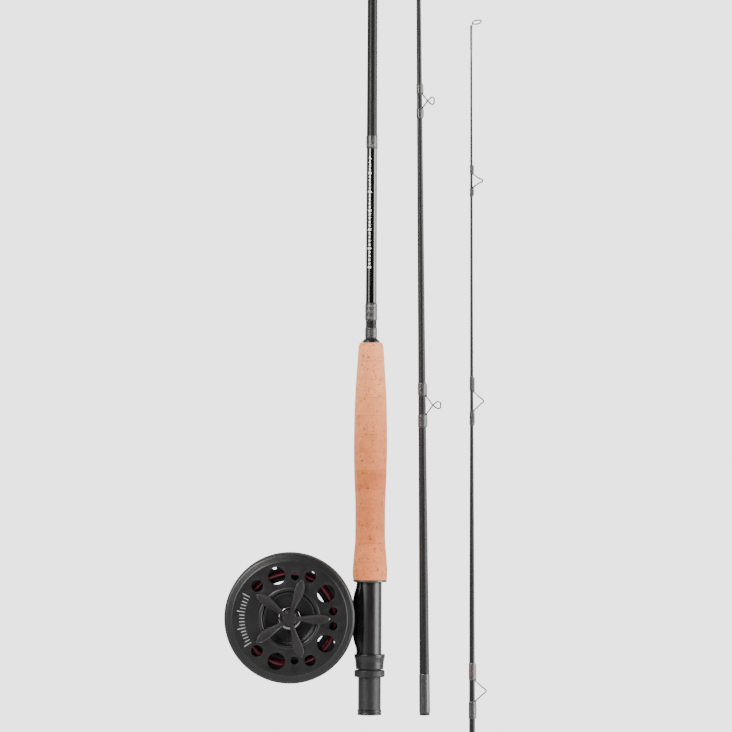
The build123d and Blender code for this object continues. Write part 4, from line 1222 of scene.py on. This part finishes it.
def grip_end_ring():
    low, high = heights("grip_end_ring")
    outline = [(10.25, low), (11.3, low), (11.65, low + 0.35), (11.65, high), (10.25, high)]
    ring = lathe("grip_end_ring_turned", outline, 0.25, 160)
    dress(ring, "butt_section", "olive_ring", BUTT, ["grip_end_ring"])


def winding_check():
    """The stepped metal cone where the grip meets the blank."""
    low, high = heights("winding_check")
    bore = butt_radius(low) + 0.05
    outline = above(low, (bore, 0), (6.2, 0), (6.2, 0.75), (5.75, 1.05), (5.5, 1.2), (5.3, 1.7), (4.75, 2.1))
    check = lathe("winding_check_turned", outline + [(4.4, high), (bore, high)], 0.14, 120)
    dress(check, "butt_section", "seat_metal", BUTT, ["winding_check"])


butt_blank()
cork_grip()
butt_cap()
seat_barrel()
lock_ring()
sliding_hood()
grip_end_ring()
fixed_hood()
winding_check()


# ---- thread wraps, guides and the loose sections --------------------------------------------------
WIRE_R = 0.45
# height up the section and blank radius in mm
MID_STATIONS = [(0, 3.50), (75, 3.25), (180, 2.70), (493, 1.57), (SHOULDER, 1.50)]
TIP_STATIONS = [(0, 2.10), (352, 2.08), (444, 1.78), (568, 1.21), (651, 0.98), (734, 0.85), (790, 0.69),
                (815, 0.69), (824, 0.55), (840, 0.55)]
# height, reach from the axis, half the gap between the feet, wrap length, and which way the wire crosses
MID_GUIDES = [(214, 13.2, 5.9, 9.0, 1), (424, 10.5, 4.3, 7.2, 1), (612, 10.0, 4.3, 7.0, 1),
              (772, 9.4, 4.3, 7.0, 1)]
TIP_GUIDES = [(175, 10.3, 6.6, 11.0, -1), (382, 10.1, 6.8, 12.0, -1), (582, 8.7, 6.4, 10.0, -1),
              (734, 8.2, 4.5, 6.0, -1)]


def line_radius(stations, z):
    """Blank radius at a height, the taper running straight between stations."""
    for (low_z, low_r), (high_z, high_r) in zip(stations, stations[1:]):
        if z <= high_z:
            return low_r + (high_r - low_r) * (z - low_z) / (high_z - low_z)
    return stations[-1][1]


def wrap_sleeve(name, radius_at, low, high, thickness=0.32, foot_rise=0.0, foot_bearing=0.0, segments=64):
    """Thread and varnish round the blank, running out at both ends and rising over a guide foot."""
    steps = max(14, int((high - low) / 0.35))
    outline = []
    for k in range(steps + 1):
        t = k / steps
        height = low + (high - low) * t
        run = min(1.0, (height - low) / 0.9, (high - height) / 0.9)
        swell = thickness * (1 - (1 - run) ** 2) * (1 + 0.10 * sin(height * 5.0) * sin(height * 1.7))
        outline.append((radius_at(height) + 0.02 + swell, height))
    outline += [(radius_at(high) + 0.01, high), (radius_at(low) + 0.01, low)]
    inner = radius_at((low + high) / 2) + 0.5 * thickness

    def over_foot(radius, height, angle):
        if not foot_rise or radius < inner:
            return radius
        off = abs((angle - foot_bearing + pi) % tau - pi)
        width = 0.62
        t = min(1.0, (height - low) / 1.6, (high - height) / 1.6)
        crown = exp(-(off / width) ** 2.4)
        return radius + foot_rise * crown * max(0.0, t) ** 0.7
    return lathe(name, outline, 0, segments, shape=over_foot)


def snake_wire(radius_at, z, reach, half_gap, wrap_length, crossing):
    """One guide: two flattened feet under the wraps and a single open turn standing off the blank."""
    foot_end = half_gap + 0.75 * wrap_length
    foot_x = radius_at(z - foot_end) + WIRE_R + 0.02
    top = reach - WIRE_R
    rise = top - foot_x
    side = 2.75
    if crossing > 0:
        half = [(foot_x, 0, -half_gap), (foot_x + 0.22 * rise, -0.45 * side, -0.52 * half_gap),
                (foot_x + 0.50 * rise, -side, 0.5), (foot_x + 0.80 * rise, -0.95 * side, 2.35),
                (top - 0.1, -0.42 * side, 1.75)]
    else:
        half = [(foot_x, 0, -half_gap), (foot_x + 0.28 * rise, -0.62 * side, -0.72 * half_gap),
                (foot_x + 0.62 * rise, -side, -0.38 * half_gap), (top - 0.55, -0.72 * side, -0.95)]
    climb = [(foot_x, 0, -foot_end), (foot_x, 0, -foot_end * 0.72 - half_gap * 0.28),
             (foot_x, 0, -half_gap - 0.8)] + half
    fall = [(x, -y, -h) for x, y, h in reversed(climb)]
    path = [p + Vector((0, 0, z)) for p in smooth_path(climb + [(top, 0, 0)] + fall, 12)]

    def flattened(share):
        from_middle = abs(path[round(share * (len(path) - 1))].z - z)
        if from_middle <= half_gap + 0.4:
            return 1.0, 1.0
        t = min(1.0, (foot_end - from_middle) / (foot_end - half_gap))
        return 0.75 + 0.45 * t, 0.35 + 0.65 * t

    return wire("snake_guide", path, WIRE_R, 16, flattened)


def section_parts(name, body, place, stations, guides, tip_bore, foot_bore, socket_bore, spigot=None,
                  russet=None):
    """A loose section's blank, its snake guides and their wraps.

    russet is the height and side of the one wrap in red-brown thread."""
    shown = list(stations)
    if spigot:
        shown += [(SHOULDER + 0.4, spigot), (SECTION_TOP - 0.4, spigot), (SECTION_TOP, spigot - 0.3)]
    blank = tapered(name + "_blank_wound", shown, tip_bore, foot_bore, socket_bore, 64)
    dress(blank, body, "blank_graphite", place, [name + "_blank"])

    def radius_at(height):
        return line_radius(stations, height)

    wires, wraps, warm = [], [], []
    for guide in guides:
        z, _, half_gap, wrap_length, _ = guide
        wires.append(snake_wire(radius_at, *guide))
        for side in (-1, 1):
            near = z + side * (half_gap + 0.6)
            low, high = sorted((near, near + side * wrap_length))
            sleeve = wrap_sleeve("wrap", radius_at, low, high, 0.30, 2 * WIRE_R - 0.18)
            (warm if russet == (z, side) else wraps).append(sleeve)
    wraps.append(wrap_sleeve("foot_wrap", radius_at, 1.5, 28.5, 0.25))
    dress(joined(name + "_guide_wires", wires), body, "guide_wire", place, [name + "_snake_guides"])
    dress(joined(name + "_thread_wraps", wraps), body, "thread_wrap", place, [name + "_wraps"])
    if warm:
        dress(joined(name + "_russet_wrap", warm), body, "thread_wrap", place, [], RUST_THREAD)


def butt_trim():
    """The wraps of the butt section with their silver bands, and the small hook keeper held by two of them."""
    keeper_z = 269.5
    wrap_spans = ((GRIP_HIGH + 2.85, keeper_z - 2.2), (keeper_z + 2.6, 284.0), (391.0, 400.0), (788.0, 798.0))
    wraps = [wrap_sleeve("wrap", butt_radius, low, high, 0.32, segments=96) for low, high in wrap_spans]
    bands = [wrap_sleeve("band", lambda h: butt_radius(h) + 0.30, low, low + 1.8, 0.14, segments=96)
             for low in (keeper_z + 3.6, 277.6, 281.2, 392.2)]
    dress(joined("butt_thread_wraps", wraps), "butt_section", "thread_wrap", BUTT, ["butt_wraps"])
    dress(joined("butt_silver_bands", bands), "butt_section", "silver_trim", BUTT, ["butt_trim_bands"])
    blank = butt_radius(keeper_z)
    stand = 3.6
    half = [(blank - 0.05, 0, -3.9), (blank + 0.35, 0, -3.2), (blank + 0.62 * stand, 0, -2.4),
            (blank + 0.95 * stand, 0, -1.0)]
    path = smooth_path(half + [(x, 0, -z) for x, _, z in reversed(half)], 8)
    place = Matrix.Translation((0, 0, keeper_z * MM)) @ Matrix.Rotation(radians(-118), 4, "Z")
    dress(wire("hook_keeper_bent", path, 0.35), "butt_section", "guide_wire", place, ["hook_keeper"])


def stripping_guide():
    """The first, double-footed guide, near the top of the butt section on the reel's side."""
    z = sum(heights("stripping_guide_ring")) / 2
    foot = 15.0
    height = -middle("stripping_guide_ring").x / MM
    ring_r = 6.2
    ring = lathe("stripping_ring_turned", [(ring_r - 1.0 + 0.9 * cos(a), 0.9 * sin(a))
                                           for a in [k * pi / 8 for k in range(16)]], 0, 96)
    at_ring = Matrix.Translation((-height * MM, 0, z * MM))
    dress(ring, "butt_section", "guide_ceramic", at_ring, ["stripping_guide_ring"])
    inner, outer, half = ring_r - 0.05, ring_r + 0.5, 1.2
    band = lathe("band", [(inner, -half), (outer, -half), (outer, half), (inner, half)], 0.25, 96)
    parts = [moved(band, -height, 0, z)]
    rest = -(butt_radius(z - foot - 9.0) + 0.50)
    for side in (-1, 1):
        path = smooth_path([(rest, 0, z + side * (foot + 9)), (rest, 0, z + side * (foot + 4)),
                            (rest - 0.1, 0, z + side * foot),
                            ((rest - height + ring_r) / 2 - 0.6, 0, z + side * foot * 0.5),
                            (-height + ring_r + 0.35, 0, z + side * 0.9)], 8)
        parts.append(wire("leg", path, 0.5, 14, lambda t: (1.0 + 0.9 * (1 - t) ** 2, 1.0 - 0.3 * (1 - t) ** 2)))
        for tilt in (-1, 1):
            path = smooth_path([(rest - 0.2, 0, z + side * foot), (rest - 2.2, tilt * 1.6, z + side * foot * 0.78),
                                (-height + 2.6, tilt * (ring_r + 0.3), z + side * 2.4),
                                (-height, tilt * (ring_r + 0.35), z + side * 0.5)], 8)
            parts.append(wire("strut", path, 0.4, 12))
    dress(joined("stripping_frame_bent", parts), "butt_section", "guide_wire", BUTT, ["stripping_guide_frame"])
    wraps = []
    for side in (-1, 1):
        low, high = sorted((z + side * (foot + 0.5), z + side * (foot + 11.0)))
        wraps.append(wrap_sleeve("wrap", butt_radius, low, high, 0.34, 0.85, pi, 96))
    dress(joined("stripping_thread_wraps", wraps), "butt_section", "thread_wrap", BUTT, ["stripping_guide_wraps"])


def tip_top():
    """The end ring: a fine tube over the tip of the blank with a wire loop brazed to it."""
    low, crown = 824.0, 841.0
    tube = lathe("tube", [(0.57, low), (0.70, low), (0.8, low + 0.5), (0.8, crown - 0.5), (0.45, crown + 0.1),
                          (0, crown + 0.1), (0, 840.05), (0.57, 840.05)], 0.1, 48)
    tilt = Matrix.Rotation(radians(-12), 4, "Y") @ Matrix.Rotation(radians(28), 4, "X")
    centre = Vector((3.95, 0, crown + 2.4))
    ring = [centre + tilt @ Vector((3.1 * cos(a), 3.1 * sin(a), 0)) for a in [tau * k / 48 for k in range(48)]]
    loop = wire("loop", ring, 0.42, closed=True)
    strut = wire("strut", smooth_path([(0.15, 0, crown - 2.4), (0.35, 0, crown - 0.6), (0.75, 0, crown + 0.9),
                                       (0.95, 0, crown + 1.9)], 8), 0.42)
    dress(joined("tip_top_brazed", [tube, loop, strut]), "tip_section", "guide_wire", TIP, ["tip_top"])


butt_trim()
stripping_guide()
section_parts("mid", "mid_section", MID, MID_STATIONS, MID_GUIDES, 0.55, 2.45, 2.80, spigot=1.45)
section_parts("tip", "tip_section", TIP, TIP_STATIONS, TIP_GUIDES, 0.18, 1.15, 1.50, russet=(382, 1))
tip_top()


# ---- floor, light and camera ------------------------------------------------------------------
def floor():
    """A pale round floor just under the part."""
    level = cad_bounds[0][2] - 0.5 * MM
    radius, sides = 5.2, 96
    rim = [tau * k / sides for k in range(sides)]
    mesh = bpy.data.meshes.new("floor")
    mesh.from_pydata([(radius * cos(a), radius * sin(a), level) for a in rim], [], [tuple(range(sides))])
    piece = bpy.data.objects.new("floor", mesh)
    g = Graph("floor_pale")
    g.set("Base Color", g.ramp(g.noise(3.0, 4.0), (0.3, grey(0.80)), (0.7, grey(0.84))))
    mesh.materials.append(g.finish(Roughness=0.7))
    bpy.context.scene.collection.objects.link(piece)


def softbox(name, bearing, height, distance, wide, tall, power, aim):
    """A rectangular lamp aimed at a point, with its bearing in degrees to the right of straight ahead."""
    lamp = bpy.data.lights.new(name, "AREA")
    lamp.shape = "RECTANGLE"
    lamp.size = wide
    lamp.size_y = tall
    lamp.energy = power
    lamp.color = (1.0, 0.985, 0.97)
    light = bpy.data.objects.new(name, lamp)
    turn = radians(bearing)
    light.location = (distance * sin(turn), -distance * cos(turn), height)
    light.rotation_euler = (Vector(aim) - light.location).to_track_quat("-Z", "Y").to_euler()
    bpy.context.scene.collection.objects.link(light)


def surroundings():
    """White behind the part as the camera sees it. As light it is dim from the front and bright from behind."""
    world = bpy.data.worlds.new("studio")
    bpy.context.scene.world = world
    world.use_nodes = True
    tree = world.node_tree
    tree.nodes.clear()
    path, seen, lit, facing, split, behind, mix, out = (
        tree.nodes.new("ShaderNode" + kind) for kind in ("LightPath", "Background", "Background", "TexCoord",
                                                         "SeparateXYZ", "MapRange", "MixShader", "OutputWorld"))
    seen.inputs["Color"].default_value = (1, 1, 1, 1)
    seen.inputs["Strength"].default_value = 3.0
    lit.inputs["Color"].default_value = (0.97, 0.98, 1.0, 1)
    behind.inputs["To Min"].default_value = 0.03
    behind.inputs["To Max"].default_value = 1.6
    for output, socket in ((facing.outputs["Generated"], split.inputs[0]),
                           (split.outputs["Y"], behind.inputs["Value"]),
                           (behind.outputs[0], lit.inputs["Strength"]),
                           (path.outputs["Is Camera Ray"], mix.inputs[0]),
                           (lit.outputs[0], mix.inputs[1]),
                           (seen.outputs[0], mix.inputs[2]),
                           (mix.outputs[0], out.inputs["Surface"])):
        tree.links.new(output, socket)


def camera(place, roll, focal_length):
    """A camera looking straight along y from a place in metres, rolled by some degrees."""
    lens = bpy.data.cameras.new("view")
    lens.lens = focal_length
    lens.clip_end = 30.0
    eye = bpy.data.objects.new("view", lens)
    eye.matrix_world = (Matrix.Translation(place) @ Matrix.Rotation(pi / 2, 4, "X")
                        @ Matrix.Rotation(radians(roll), 4, "Z"))
    bpy.context.scene.collection.objects.link(eye)
    bpy.context.scene.camera = eye


floor()
softbox("right_softbox", bearing=80, height=0.3, distance=2.2, wide=2.1, tall=2.4, power=200, aim=(0, 0, 0.2))
softbox("left_softbox", bearing=-54, height=1.34, distance=2.2, wide=1.0, tall=2.4, power=68, aim=(0, 0, 0.2))
softbox("top_softbox", bearing=0, height=2.6, distance=0.9, wide=1.6, tall=1.0, power=9, aim=(0, 0, 0.1))
softbox("near_left_softbox", bearing=-38, height=0.42, distance=0.52, wide=0.16, tall=0.16, power=2.5,
        aim=(-0.06, 0, 0.08))
surroundings()
camera(place=(-0.0034, -4.2, 0.2408), roll=0.26, focal_length=299.35)
